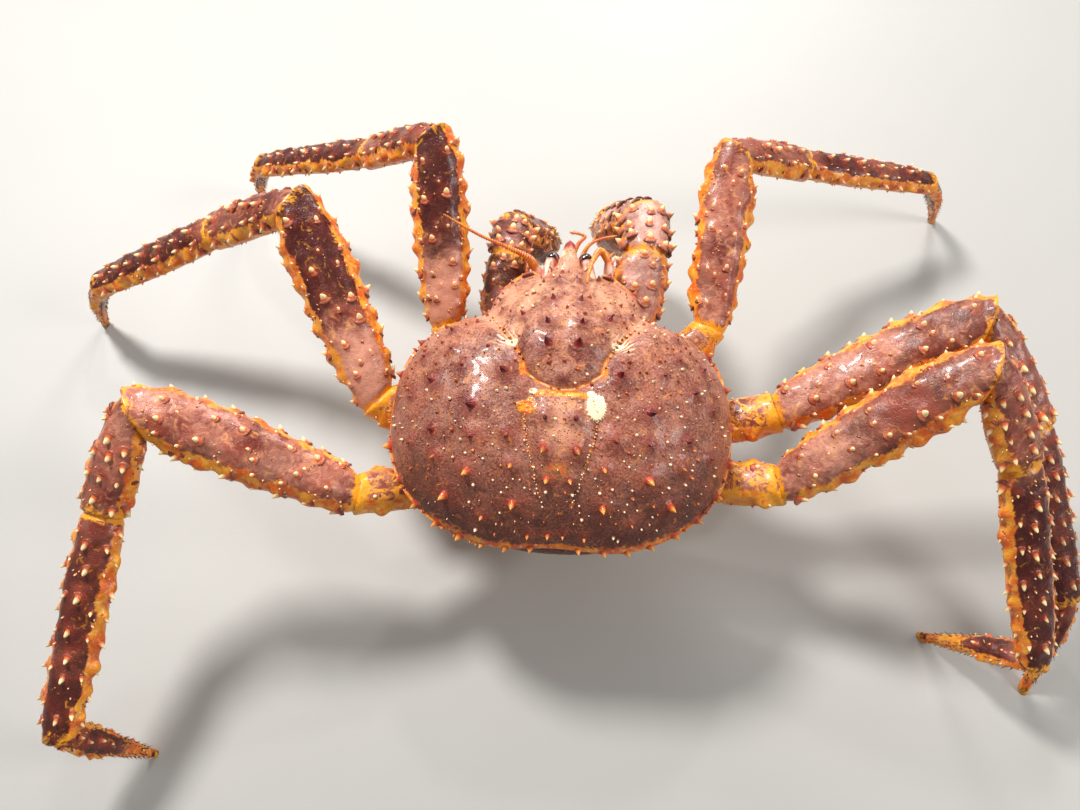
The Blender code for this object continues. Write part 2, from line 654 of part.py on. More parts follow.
def main():
    clear_scene()
    carapace, shell = make_carapace(random.Random(7))
    rng = random.Random(SEED)
    thorax = make_thorax()
    make_abdomen(thorax)
    make_head(shell, thorax)
    turn_body()
    for side in SIDES:
        make_claw(side, [thorax, shell], rng)
        for pair in LEG_LENGTHS:
            make_leg(side, pair, [thorax, shell], rng)
    bpy.data.objects.remove(shell)
    settle()


main()
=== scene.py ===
# Red king crab, an adult male standing on the tips of six walking legs.
# Shapes are worked out in millimetres about the middle of the carapace, with +Y
# towards the head and +X the crab's right, and set in the frame in metres.

import itertools
import math

import bpy
import numpy as np
from mathutils import Matrix, Vector


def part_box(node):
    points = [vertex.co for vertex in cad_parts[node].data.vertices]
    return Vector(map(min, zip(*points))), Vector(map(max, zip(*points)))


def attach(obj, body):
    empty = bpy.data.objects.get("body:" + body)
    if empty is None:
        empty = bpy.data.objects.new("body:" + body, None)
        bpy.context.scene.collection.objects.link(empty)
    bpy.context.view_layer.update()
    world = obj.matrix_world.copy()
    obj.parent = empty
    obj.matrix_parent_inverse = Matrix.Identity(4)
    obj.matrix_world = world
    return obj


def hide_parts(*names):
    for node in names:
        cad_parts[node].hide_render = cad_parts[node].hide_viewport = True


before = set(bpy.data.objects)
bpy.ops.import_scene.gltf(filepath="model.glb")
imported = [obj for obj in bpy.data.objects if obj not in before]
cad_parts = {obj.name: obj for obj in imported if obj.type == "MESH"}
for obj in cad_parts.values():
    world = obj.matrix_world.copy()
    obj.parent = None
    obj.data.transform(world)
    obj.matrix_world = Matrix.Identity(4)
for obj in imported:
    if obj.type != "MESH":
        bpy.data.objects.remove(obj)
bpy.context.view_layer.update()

low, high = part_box("thorax")
bodyTurn, turnY = math.radians(3.3), 32.0
middleY = turnY - 23.0 * math.cos(bodyTurn)
middleX = -23.0 * math.sin(bodyTurn)
bodyOrigin = np.array((low + high) / 2) - np.array((middleX, middleY, -34.65)) * 0.001
floorLevel = -99.85
upward = np.array((0.0, 0.0, 1.0))
sides = {"left": -1, "right": 1}
maskNames = ("edge", "tip", "spine", "warm", "joint", "under", "groove", "cream", "blush", "deep",
    "spot", "shade")
print("frame loaded")


# Camera, floor and light

camera = dict(elevation=64.0, lens=30.0, place=(-0.0129, -0.2017, 0.4379))
studio = dict(
    floor="aeaba5",
    floorRoughness=0.55,
    sky="f2f4f8",
    skyStrength=0.42,
    # name: place in metres about the crab, size and power in watts
    lamps={
        "key": ((-0.62, 0.75, 1.25), 0.3, 30.0),
        "fill": ((1.2, -0.2, 1.0), 0.5, 10.0),
        "rim": ((0.3, 1.2, 0.7), 0.4, 8.0),
        "glint": ((0.02, 0.92, 0.98), 0.09, 2.6),
    },
)


def colour(code):
    parts = [int(code[i:i + 2], 16) / 255 for i in (0, 2, 4)]
    return [p / 12.92 if p < 0.04045 else ((p + 0.055) / 1.055) ** 2.4 for p in parts] + [1.0]


def turnedTo(right, up, back, place):
    made = Matrix((right, up, back)).transposed().to_4x4()
    made.translation = place
    return made


def setCamera():
    tilt = math.radians(camera["elevation"])
    made = bpy.data.objects.new("camera", bpy.data.cameras.new("camera"))
    made.data.lens = camera["lens"]
    made.data.sensor_width = 36.0
    made.data.clip_start = 0.01
    up = Vector((0, math.sin(tilt), math.cos(tilt)))
    back = Vector((0, -math.cos(tilt), math.sin(tilt)))
    place = Vector(bodyOrigin) + Vector(camera["place"])
    made.matrix_world = turnedTo(Vector((1, 0, 0)), up, back, place)
    bpy.context.scene.collection.objects.link(made)
    bpy.context.scene.camera = made


def setLamps():
    middle = Vector((bodyOrigin[0], bodyOrigin[1], 0.05))
    for name, (place, size, power) in studio["lamps"].items():
        lamp = bpy.data.lights.new(name, "AREA")
        lamp.shape = "DISK"
        lamp.size = size
        lamp.energy = power
        made = bpy.data.objects.new(name, lamp)
        made.location = middle + Vector(place)
        made.rotation_euler = Vector(place).to_track_quat("Z", "Y").to_euler()
        bpy.context.scene.collection.objects.link(made)
    world = bpy.data.worlds.new("studio")
    world.use_nodes = True
    sky = world.node_tree.nodes["Background"]
    sky.inputs["Color"].default_value = colour(studio["sky"])
    sky.inputs["Strength"].default_value = studio["skyStrength"]
    bpy.context.scene.world = world
    bpy.context.scene.view_settings.view_transform = "Standard"


# Finishes


class Finish:
    # One material. A socket or a plain value may stand wherever a value is asked for.
    def __init__(self, name):
        self.material = bpy.data.materials.new(name)
        self.material.use_nodes = True
        self.tree = self.material.node_tree
        self.tree.nodes.clear()
        self.place = self.put("ShaderNodeTexCoord").outputs["Object"]

    def put(self, kind, inputs=(), **options):
        made = self.tree.nodes.new(kind)
        for key, value in options.items():
            setattr(made, key, value)
        for key, value in dict(inputs).items():
            self.join(made.inputs[key], value)
        return made

    def join(self, socket, value):
        if isinstance(value, bpy.types.NodeSocket):
            self.tree.links.new(value, socket)
        elif isinstance(value, str):
            socket.default_value = colour(value)
        else:
            socket.default_value = value

    def mask(self, name):
        return self.put("ShaderNodeAttribute", attribute_name=name).outputs["Fac"]

    def noise(self, size, detail=3.0, roughness=0.6, warp=0.0):
        inputs = {"Vector": self.place, "Scale": 1000 / size, "Detail": detail}
        inputs.update({"Roughness": roughness, "Distortion": warp})
        return self.put("ShaderNodeTexNoise", inputs).outputs["Fac"]

    def cells(self, size, spread=1.0):
        inputs = {"Vector": self.place, "Scale": 1000 / size, "Randomness": spread}
        return self.put("ShaderNodeTexVoronoi", inputs).outputs["Distance"]

    def span(self, value, low, high, start=0.0, end=1.0):
        inputs = {"Value": value, "From Min": low, "From Max": high, "To Min": start, "To Max": end}
        return self.put("ShaderNodeMapRange", inputs, interpolation_type="SMOOTHSTEP").outputs["Result"]

    def sum(self, way, first, second, third=0.0):
        return self.put("ShaderNodeMath", {0: first, 1: second, 2: third}, operation=way).outputs["Value"]

    def both(self, first, second):
        return self.sum("MULTIPLY", first, second)

    def ragged(self, name, noise, depth, low, high, top=1.0, near=0.2, far=0.8):
        # A mask whose border is broken up by noise
        uneven = self.sum("ADD", self.mask(name), self.span(noise, near, far, -depth, depth))
        return self.span(uneven, low, high, 0.0, top)

    def blend(self, share, first, second, way="MIX"):
        made = self.put("ShaderNodeMix", {0: share, 6: first, 7: second}, data_type="RGBA", blend_type=way)
        return made.outputs[2]

    def bump(self, *layers):
        # Layers of height, 0 to 1, each with its depth in millimetres
        normal = None
        for height, depth in layers:
            inputs = {"Height": height, "Distance": depth * 0.001, "Strength": 1.0}
            if normal:
                inputs["Normal"] = normal
            normal = self.put("ShaderNodeBump", inputs).outputs["Normal"]
        return normal

    def close(self, **sockets):
        shader = self.put("ShaderNodeBsdfPrincipled", {k.replace("_", " "): v for k, v in sockets.items()})
        target = self.put("ShaderNodeOutputMaterial")
        self.tree.links.new(shader.outputs["BSDF"], target.inputs["Surface"])
        return self.material


crusts = {
    "carapace": dict(
        ground="a55a42", groundDark="7a3c2d", blush="eb9e6e", blushPale="dfa084", deep="57281c",
        margin="ffa028", marginDeep="d8571a", spineRed="8c1b1a", spineTipRed="4c070c",
        spineWarm="c8401c", spineTipWarm="ffa644", spotRed="761613", spotWarm="a83016",
        joint="ff9a14", jointDeep="b03205", under="efbf74", underDeep="dd8c38",
        groove="ffae26", cream="ffeec2", speck="30100c", blotchSize=24.0, pepper=0.7,
        rough=(0.3, 0.55), relief=1.0,
    ),
    "leg": dict(
        ground="a24c38", groundDark="6e261a", blush="d6917a", blushPale="de9c7e", deep="440a06",
        margin="ffab30", marginDeep="e2621a", spineRed="b8431f", spineTipRed="f2bd6c",
        spineWarm="d8602c", spineTipWarm="ffdca0", spotRed="9c3620", spotWarm="d0582c",
        joint="ffa922", jointDeep="c44a0c", under="f5c984", underDeep="e58f38",
        groove="e08a2c", cream="ffe2a4", speck="3a0e0a", blotchSize=26.0, pepper=0.1,
        rough=(0.24, 0.46), relief=0.7,
    ),
    "claw": dict(
        ground="96564a", groundDark="642e26", blush="dba496", blushPale="e4b39e", deep="42140c",
        margin="ffa832", marginDeep="dc6220", spineRed="a8431f", spineTipRed="efb766",
        spineWarm="dd6e34", spineTipWarm="ffd898", spotRed="9c4a36", spotWarm="cc5c2a",
        joint="ffa728", jointDeep="c04a12", under="f2c47e", underDeep="df8a34",
        groove="e3a04a", cream="ffe6b4", speck="2a0c0a", blotchSize=17.0, pepper=0.12,
        rough=(0.22, 0.44), relief=0.9,
    ),
}


def crustFinish(name, look):
    f = Finish(name)
    blotch = f.noise(look["blotchSize"], 5, 0.62, 0.6)
    cloud = f.noise(look["blotchSize"] * 0.35, 4, 0.6, 0.3)
    grain = f.noise(1.1, 2, 0.7)
    fine = f.noise(2.6, 5, 0.7)
    streak = f.noise(5.5, 4, 0.65, 1.2)

    # The ground: mauve brown, mottled, paler where it blushes and darker where it is deep
    base = f.blend(f.span(blotch, 0.36, 0.64), look["ground"], look["groundDark"])
    base = f.blend(f.span(cloud, 0.38, 0.7, 0.0, 0.4), base, look["blushPale"])
    blush = f.ragged("blush", streak, 0.28, 0.12, 0.8)
    base = f.blend(blush, base, f.blend(f.span(fine, 0.35, 0.65), look["blush"], look["blushPale"]))
    base = f.blend(f.both(f.span(grain, 0.5, 0.34), look["pepper"] * 0.5), base, look["blushPale"])
    # The deep mask holds the shell's own dark tone, and on the legs also painted shade on the sides and on
    # legs that lay in shade
    dark = f.ragged("deep", cloud, 0.3, 0.15, 0.9, 0.92)
    base = f.blend(dark, base, look["deep"])

    # Rings of colour round the feet of the spines
    warm = f.mask("warm")
    spot = f.ragged("spot", fine, 0.16, 0.12, 0.85)
    strength = f.blend(warm, "c8c8c8", "7c7c7c")
    base = f.blend(f.both(spot, strength), base, f.blend(warm, look["spotRed"], look["spotWarm"]))

    # Dark specks and pores in the skin of the shell
    pores = f.span(f.cells(1.7), 0.16, 0.34, 1.0, 0.0)
    peppered = f.both(pores, f.span(f.noise(7.0, 3), 0.42, 0.62))
    base = f.blend(f.both(peppered, look["pepper"]), base, look["speck"])
    base = f.blend(f.both(f.span(grain, 0.5, 0.66), look["pepper"] * 0.6), base, look["speck"])

    # Undersides, margins, joints and grooves
    under = f.ragged("under", streak, 0.25, 0.25, 0.8)
    pale = f.blend(f.span(blotch, 0.4, 0.62), look["under"], look["underDeep"])
    base = f.blend(under, base, pale)
    margin = f.ragged("edge", streak, 0.34, 0.34, 0.68)
    gold = f.blend(f.span(cloud, 0.36, 0.62), look["margin"], look["marginDeep"])
    gold = f.blend(f.span(fine, 0.52, 0.72, 0.0, 0.6), gold, look["cream"])
    base = f.blend(margin, base, gold)
    joint = f.ragged("joint", streak, 0.5, 0.2, 0.8, near=0.25, far=0.75)
    ember = f.ragged("joint", fine, 0.35, 0.9, 1.35)
    base = f.blend(joint, base, f.blend(ember, look["joint"], look["jointDeep"]))
    groove = f.ragged("groove", fine, 0.3, 0.25, 0.75)
    base = f.blend(groove, base, f.blend(f.span(fine, 0.4, 0.62), look["groove"], look["marginDeep"]))

    # Spines, from their feet to their points
    up = f.mask("tip")
    foot = f.blend(warm, look["spineRed"], look["spineWarm"])
    point = f.blend(warm, look["spineTipRed"], look["spineTipWarm"])
    horn = f.blend(f.span(up, 0.3, 0.72), foot, point)
    base = f.blend(f.both(f.mask("spine"), f.span(up, -0.02, 0.24)), base, horn)
    base = f.blend(f.span(f.mask("cream"), 0.3, 0.75), base, look["cream"])
    base = f.blend(1.0, base, f.blend(f.mask("shade"), "8d8d8d", "ffffff"), "MULTIPLY")

    dull = f.span(f.sum("ADD", fine, f.both(peppered, 0.3)), 0.3, 0.8, *look["rough"])
    normal = f.bump(
        (f.noise(6.0, 4, 0.6), 0.55 * look["relief"]), (fine, 0.34 * look["relief"]),
        (pores, -0.14 * look["relief"]), (grain, 0.12 * look["relief"]),
    )
    return f.close(Base_Color=base, Roughness=dull, Normal=normal, Coat_Weight=0.12,
                   Coat_Roughness=0.08, Specular_IOR_Level=0.32)


def feelerFinish():
    f = Finish("feeler")
    cloud = f.noise(6.0, 4, 0.6)
    base = f.blend(f.span(cloud, 0.36, 0.64), "f39a2e", "d5672a")
    rosy = f.blend(f.span(cloud, 0.4, 0.6), "e79a86", "f3c9b4")
    base = f.blend(f.span(f.mask("blush"), 0.1, 0.9), base, rosy)
    base = f.blend(f.both(f.mask("groove"), 0.6), base, "a63a12")
    base = f.blend(f.mask("cream"), base, "fbe3b8")
    base = f.blend(f.mask("deep"), base, "5a1a10")
    return f.close(Base_Color=base, Roughness=f.span(cloud, 0.3, 0.7, 0.3, 0.48),
                   Normal=f.bump((f.noise(1.2, 3), 0.12)), Coat_Weight=0.4, Coat_Roughness=0.15)


def eyeFinish():
    # Close-set facets under a wet surface
    f = Finish("cornea")
    facets = f.cells(0.34, 0.25)
    base = f.blend(f.span(f.noise(3.0), 0.4, 0.7), "0d0605", "2b120c")
    base = f.blend(f.both(f.span(facets, 0.2, 0.5), 0.35), base, "4a2a1c")
    return f.close(Base_Color=base, Roughness=0.16, Normal=f.bump((facets, -0.03)),
                   Coat_Weight=1.0, Coat_Roughness=0.04)


def hornFinish():
    # Black-brown horn at the tips of fingers and feet, and bristles
    f = Finish("horn")
    streak = f.noise(2.0, 4, 0.6, 0.5)
    base = f.blend(f.span(streak, 0.35, 0.7), "1d0b07", "59290f")
    base = f.blend(f.mask("warm"), base, "a86a2a")
    return f.close(Base_Color=base, Roughness=f.span(streak, 0.3, 0.7, 0.22, 0.4),
                   Normal=f.bump((streak, 0.15)), Coat_Weight=0.4, Coat_Roughness=0.1)


def toothFinish():
    f = Finish("tooth")
    chalk = f.noise(1.4, 4, 0.65)
    base = f.blend(f.span(chalk, 0.35, 0.7), "f5ead0", "dcb987")
    return f.close(Base_Color=base, Roughness=0.38, Normal=f.bump((chalk, 0.1)),
                   Coat_Weight=0.25, Coat_Roughness=0.2)


def floorFinish():
    f = Finish("floor")
    base = f.blend(f.both(f.noise(60.0, 4), 0.25), studio["floor"], "a29f98")
    grain = f.bump((f.noise(3.0, 3), 0.05))
    return f.close(Base_Color=base, Roughness=studio["floorRoughness"], Normal=grain)


# Making meshes


class Form:
    # Points and faces of one piece, with the masks that its finish reads
    def __init__(self, body=False):
        self.body = body
        self.points, self.faces, self.finishes, self.masks = [], [], [], []
        self.count = 0

    def add(self, points, faces, finish=0, **masks):
        points = np.asarray(points, float).reshape(-1, 3)
        for group in faces:
            self.faces.append(np.asarray(group, int) + self.count)
            self.finishes.append(np.full(len(group), finish))
        self.points.append(points)
        row = {"shade": 0.75, **masks}
        values = [np.asarray(row.get(name, 0.0), float).reshape(-1) for name in maskNames]
        self.masks.append(np.stack([np.broadcast_to(value, len(points)) for value in values]))
        self.count += len(points)

    def make(self, name, finishes, nodes=()):
        points = np.concatenate(self.points)
        points = (turned(points) if self.body else points) * 0.001 + bodyOrigin
        corners = np.concatenate([group.ravel() for group in self.faces])
        sizes = np.concatenate([np.full(len(group), group.shape[1]) for group in self.faces])
        mesh = bpy.data.meshes.new(name)
        mesh.vertices.add(len(points))
        mesh.vertices.foreach_set("co", points.ravel())
        mesh.loops.add(len(corners))
        mesh.loops.foreach_set("vertex_index", corners)
        mesh.polygons.add(len(sizes))
        mesh.polygons.foreach_set("loop_start", np.concatenate([[0], np.cumsum(sizes)[:-1]]))
        mesh.polygons.foreach_set("material_index", np.concatenate(self.finishes))
        mesh.update(calc_edges=True)
        mesh.shade_smooth()
        values = np.concatenate(self.masks, axis=1)
        for mask, row in zip(maskNames, values):
            if row.any():
                mesh.attributes.new(mask, "FLOAT", "POINT").data.foreach_set("value",
                    row.astype(np.float32))
        for finish in finishes:
            mesh.materials.append(finish)
        made = bpy.data.objects.new(name, mesh)
        bpy.context.scene.collection.objects.link(made)
        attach(made, "root")
        if nodes:
            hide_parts(*nodes)


def unit(v):
    return v / np.maximum(np.linalg.norm(v, axis=-1, keepdims=True), 1e-9)


def turned(points):
    # Turns the body a little towards the crab's right, about an upright line
    points = np.asarray(points, float)
    x, y = points[..., 0], points[..., 1] - turnY
    cos, sin = math.cos(bodyTurn), math.sin(bodyTurn)
    return np.stack([x * cos + y * sin, turnY + y * cos - x * sin, points[..., 2]], -1)


def ease(value, start, end):
    t = np.clip((value - start) / (end - start), 0, 1)
    return t * t * (3 - 2 * t)


def bell(*shares):
    # 1 in the middle and fading outwards, with a distance over its width for each direction
    return np.exp(-sum(share ** 2 for share in shares))


def allRound(values, around):
    return np.repeat(values[:, None], around, 1)


def ruffle(points, size, seed=1):
    # Smooth noise from -1 to 1 with lumps of that size
    lattice = np.random.default_rng(seed).uniform(-1, 1, (32, 32, 32))
    place = np.asarray(points, float) / size
    cell = np.floor(place).astype(int)
    t = place - cell
    t = t * t * (3 - 2 * t)
    total = np.zeros(place.shape[:-1])
    for corner in itertools.product((0, 1), repeat=3):
        weight = np.prod(np.where(np.array(corner), t, 1 - t), axis=-1)
        spot = (cell + np.array(corner)) % 32
        total += weight * lattice[spot[..., 0], spot[..., 1], spot[..., 2]]
    return total


def gridFaces(rows, columns):
    across = np.arange(columns)
    a = np.arange(rows - 1)[:, None] * columns + across
    b = np.arange(rows - 1)[:, None] * columns + (across + 1) % columns
    return np.stack([a, b, b + columns, a + columns], -1).reshape(-1, 4)


def closedTube(rings):
    # Points and faces of a tube through rings, each with a middle point over its ends
    rows, columns = rings.shape[:2]
    points = np.concatenate([rings.reshape(-1, 3), rings[0].mean(axis=0)[None],
        rings[-1].mean(axis=0)[None]])
    here = np.arange(columns)
    onward = (here + 1) % columns
    last = (rows - 1) * columns
    first = np.stack([onward, here, np.full(columns, rows * columns)], 1)
    final = np.stack([last + here, last + onward, np.full(columns, rows * columns + 1)], 1)
    return points, [gridFaces(rows, columns), first, final]


def overTube(values):
    # Values for the points of a closed tube, from those of its rings
    return np.concatenate([values.reshape(-1), [values[0].mean(), values[-1].mean()]])


def smoothLoop(points, steps):
    points = np.array(points, float)
    a, b, c, d = (np.roll(points, k, axis=0)[:, None] for k in (1, 0, -1, -2))
    t = (np.arange(steps) / steps)[None, :, None]
    curve = 0.5 * (2 * b + (c - a) * t + (2 * a - 5 * b + 4 * c - d) * t**2
        + (3 * b - a - 3 * c + d) * t**3)
    return curve.reshape(-1, 3)


def smoothPath(values, count):
    # An open smooth curve through rows of values, with so many rows, and where each row falls
    values = np.array(values, float)
    padded = np.concatenate([2 * values[:1] - values[1:2], values, 2 * values[-1:] - values[-2:-1]])
    place = np.linspace(0, len(values) - 1, count)
    k = np.minimum(place.astype(int), len(values) - 2)
    t = (place - k)[:, None]
    a, b, c, d = (padded[k + i] for i in range(4))
    return 0.5 * (2 * b + (c - a) * t + (2 * a - 5 * b + 4 * c - d) * t**2 + (3 * b - a - 3 * c + d) * t**3)


def tubeAlong(path, halves, around, across=None, power=2.0, rise=None):
    # Rings round a path. Halves are rows of half widths and half thicknesses
    way = unit(np.gradient(path, axis=0))
    side = np.array(across, float) if across is not None else np.cross(way[0], upward)
    turn = 2 * np.pi * np.arange(around) / around
    cos, sin = np.cos(turn), np.sin(turn)
    u = np.sign(cos) * np.abs(cos) ** (2 / power)
    v = np.sign(sin) * np.abs(sin) ** (2 / power)
    rings = []
    for k, point in enumerate(path):
        side = unit(side - way[k] * side.dot(way[k]))
        other = np.cross(way[k], side)
        wide, deep = halves[k]
        lift = 1.0 if rise is None else 1 + rise[k]
        rings.append(point + np.outer(u * wide * lift, side) + np.outer(v * deep * lift, other))
    return np.array(rings)


spineRows = np.array([-0.24, 0.0, 0.06, 0.14, 0.26, 0.42, 0.6, 0.78, 0.91, 0.975])
fewRows = spineRows[[0, 2, 5, 7, 9]]


def addSpines(form, roots, ways, lengths, radii, warm, blunt=0.0, curl=0.12, around=10, finish=0,
              cream=0.0, levels=spineRows):
    # Tapering spines with flared feet sunk in the surface, bent a little along their curl
    count = len(roots)
    if not count:
        return
    roots = np.asarray(roots, float)
    ways = unit(np.broadcast_to(np.asarray(ways, float), roots.shape))
    lengths, radii = (np.broadcast_to(np.asarray(v, float), count)[:, None, None] for v in (lengths, radii))
    blunt = np.broadcast_to(np.asarray(blunt, float), count)[:, None]
    prop = np.where(np.abs(ways[:, 2:]) < 0.9, upward, np.array((1.0, 0.0, 0.0)))
    side = unit(np.cross(ways, prop))
    other = np.cross(ways, side)
    t = levels[None, :]
    cone = np.where(t > 0, np.maximum(1 - t, 0.001) ** (0.95 - 0.5 * blunt), 1 - 0.3 * t)
    width = cone * (0.64 + 0.36 * np.exp(-np.maximum(t, 0) / 0.1))
    bend = curl * np.maximum(t, 0) ** 2
    axis = roots[:, None] + (ways[:, None] * t[..., None] + other[:, None] * bend[..., None]) * lengths
    turn = 2 * np.pi * np.arange(around) / around
    wobble = 1 + 0.07 * np.sin(3 * turn[None, None] + rng.uniform(0, 6, (count, 1, 1)))
    cos, sin = (wave[None, None, :, None] for wave in (np.cos(turn), np.sin(turn)))
    ring = side[:, None, None] * cos + other[:, None, None] * sin
    points = axis[:, :, None] + ring * (width[..., None] * wobble * radii)[..., None]
    tips = roots + (ways + other * curl) * lengths[:, 0]
    rows = len(levels)
    each = rows * around + 2
    soles = points[:, 0].mean(axis=1)
    cloud = np.concatenate([points.reshape(count, -1, 3), tips[:, None], soles[:, None]], axis=1)
    here = np.arange(around)
    onward = (here + 1) % around
    last = (rows - 1) * around
    cap = np.stack([last + here, last + onward, np.full(around, rows * around)], 1)
    sole = np.stack([onward, here, np.full(around, rows * around + 1)], 1)
    offsets = (np.arange(count) * each)[:, None, None]
    faces = [(group[None] + offsets).reshape(-1, group.shape[1]) for group in (gridFaces(rows, around),
        cap, sole)]
    up = np.concatenate([np.repeat(np.maximum(levels, 0), around), [1.0, 0.0]])
    shade = np.repeat(rng.uniform(0.6, 0.95, count), each)
    creams = np.broadcast_to(np.asarray(cream, float), count)[:, None] * ease(up, 0.12, 0.45)[None]
    form.add(
        cloud, faces, finish, tip=np.tile(up, count), spine=1.0, shade=shade, cream=creams,
        warm=np.repeat(np.broadcast_to(np.asarray(warm, float), count), each),
    )


def nearness(points, roots, radii):
    # How near points are to any of the roots, 1 at a root and fading over its radius
    total = np.zeros(points.shape[:-1])
    for root, radius in zip(roots, np.broadcast_to(radii, len(roots))):
        total = np.maximum(total, np.exp(-np.sum((points - root) ** 2, axis=-1) / radius**2))
    return total


rng = np.random.default_rng(31)
finish = {name: crustFinish(name, look) for name, look in crusts.items()}
finish.update(feeler=feelerFinish(), eye=eyeFinish(), horn=hornFinish(), tooth=toothFinish())
setCamera()
setLamps()
print("camera, light and finishes made")


# Carapace

carapace = dict(
    # Half of the edge from the tail round to the rostrum, as (x, y, height)
    edge=[
        (0, -68, -2), (36, -68, -3), (67, -54, -3), (86, -31, -1), (91, 3, 2), (84, 37, 4),
        (63, 54, 6), (45, 62, 7), (39, 76, 8), (30, 86, 9), (21, 91, 10), (15, 86, 12),
        (9, 89, 15), (4, 98, 17), (0, 103, 17),
    ],
    centreY=8.0, domeHeight=34.0, domeSpread=math.radians(16), domeFoot=(3.6, 0.097), middleReach=80.0,
    # Swellings: centre x, y, spread x, y and height
    swellings=[(0, 44, 23, 26, 9), (0, -20, 14, 18, 4), (50, -8, 24, 34, 4)],
    # Grooves on the right half: line, half width and depth
    neckGroove=([(49, 61), (38, 44), (27, 28), (21, 17), (19.5, 10.5), (13, 5.5), (5, 1.8), (0, 1.2)],
        3.6, 3.0),
    sideGroove=([(27, 28), (23, 42), (19, 58), (14, 74)], 3.5, 1.5),
    heartGroove=([(15, -2), (18.5, -14), (16.3, -25), (14, -33), (11, -43), (7, -53)], 3.5, 2.0),
    columnsPerStretch=15, rows=128, underZ=-20.0,
    # Rings under the shell: size over that of the edge, and how far below it
    underRings=[
        (0.998, 0.6), (0.993, 1.6), (0.985, 4.0), (0.968, 6.0), (0.95, 8.0), (0.92, 10.5), (0.89, 13.0),
        (0.855, 16.5), (0.82, 20.0), (0.79, 20.0), (0.5, 20.0), (0.15, 20.0),
    ],
    granules=460, paleOval=(17, -7.4), beakRows=60, beakAround=36,
)
spineSizes = {"large": (5.8, 4.2), "medium": (4.3, 3.2), "small": (3.2, 2.3)}
backSpines = [
    (5, 71, "small"), (7, 50.5, "medium"), (8.8, 35, "medium"), (7.3, 23.5, "large"),
    (22, 42, "medium"), (33, 50, "small"), (35, 60, "small"), (29, 9.5, "large"), (44, -8, "large"),
    (6.6, -14.5, "medium"), (8.2, -29, "large"), (5.6, -42, "medium"), (26.5, -23, "medium"),
    (45, -39, "large"), (56, -48, "large"), (22.3, -52.5, "large"), (23, -36.5, "medium"),
    (43.5, -23, "medium"), (37, -58, "small"), (66, 7.4, "medium"), (63.5, -18, "medium"),
    (62, -31, "medium"), (51, 13, "small"), (58, 24, "small"), (77, 2, "small"), (72, 24, "small"),
    (58, 38, "small"), (76, -22, "small"), (4, -63.5, "small"), (14, -64, "small"),
]
middleSpines = [(0, 6.5, "small")]
edgeSpines = [
    (-81, "small"), (-72, "small"), (-64, "small"), (-56, "small"), (-47, "small"), (-38, "small"),
    (-28, "small"), (-16, "medium"), (-4, "medium"), (10, "medium"), (24, "medium"), (38, "small"),
    (50, "medium"), (62, "medium"), (74, "small"),
]


def carapaceEdge(steps):
    half = carapace["edge"]
    return smoothLoop(half + [(-x, y, z) for x, y, z in half[-2:0:-1]], steps)


fineEdge = carapaceEdge(12)
fineTurns = np.arctan2(fineEdge[:, 1] - carapace["centreY"], fineEdge[:, 0])
fineOrder = np.argsort(fineTurns)
fineReach = np.hypot(fineEdge[:, 0], fineEdge[:, 1] - carapace["centreY"])[fineOrder]
roundTurns = np.linspace(-math.pi, math.pi, 241)


def edgeAt(turn):
    around = dict(xp=fineTurns[fineOrder], period=2 * math.pi)
    return np.interp(turn, fp=fineReach, **around), np.interp(turn, fp=fineEdge[:, 2][fineOrder], **around)


def evenedReach():
    apart = (roundTurns[:, None] - roundTurns[None, :-1] + math.pi) % (2 * math.pi) - math.pi
    weight = np.exp(-((apart / carapace["domeSpread"]) ** 2) / 2)
    return weight @ edgeAt(roundTurns)[0][:-1] / weight.sum(axis=1)


evenReach = evenedReach()


def nearLine(x, y, line):
    # Distance to the line, and how far along it the nearest point is
    best, along, run = np.full(x.shape, 1e9), np.zeros(x.shape), 0.0
    for (ax, ay), (bx, by) in zip(line[:-1], line[1:]):
        dx, dy = bx - ax, by - ay
        t = np.clip(((x - ax) * dx + (y - ay) * dy) / (dx * dx + dy * dy), 0, 1)
        away = np.hypot(x - ax - t * dx, y - ay - t * dy)
        along = np.where(away < best, run + t * math.hypot(dx, dy), along)
        best = np.minimum(best, away)
        run += math.hypot(dx, dy)
    return best, along


def domeAt(rho, turn):
    ahead = np.clip((np.sin(turn) - 0.6) / 0.4, 0, 1)
    return carapace["domeHeight"] * np.maximum(1 - np.minimum(rho, 1) ** 2.4, 0) ** (0.6 + 0.4 * ahead)


def backHeight(x, y):
    turn = np.arctan2(y - carapace["centreY"], x)
    reach, rim = edgeAt(turn)
    even = np.interp(turn, roundTurns, evenReach)
    out = np.hypot(x, y - carapace["centreY"])
    rho = np.minimum(out / reach, 1)
    foot = carapace["domeFoot"][0] + carapace["domeFoot"][1] * y
    height = foot + domeAt(out / even, turn)
    height += (rim - foot - domeAt(reach / even, turn)) * rho**7
    fade = 1 - rho**4
    for cx, cy, sx, sy, rise in carapace["swellings"]:
        height += fade * rise * np.exp(-(((np.abs(x) - cx) / sx) ** 2 + ((y - cy) / sy) ** 2) / 2)
    for line, half, depth in (carapace["neckGroove"], carapace["sideGroove"], carapace["heartGroove"]):
        height -= fade * depth * np.exp(-((nearLine(np.abs(x), y, line)[0] / half) ** 2) / 2)
    return height


def backNormal(x, y):
    step = 1.2
    riseX = (backHeight(x + step, y) - backHeight(x - step, y)) / (2 * step)
    riseY = (backHeight(x, y + step) - backHeight(x, y - step)) / (2 * step)
    return unit(np.stack([-riseX, -riseY, np.ones_like(x)], -1))


def rimPlaces(turn, inset):
    # Ways out from the middle, and points at a distance inside the rim
    reach, rim = edgeAt(turn)
    out = np.stack([np.cos(turn), np.sin(turn), np.zeros_like(turn)], -1)
    return out, out * (reach - inset)[:, None] + np.stack([0 * rim, 0 * rim + carapace["centreY"], rim], -1)


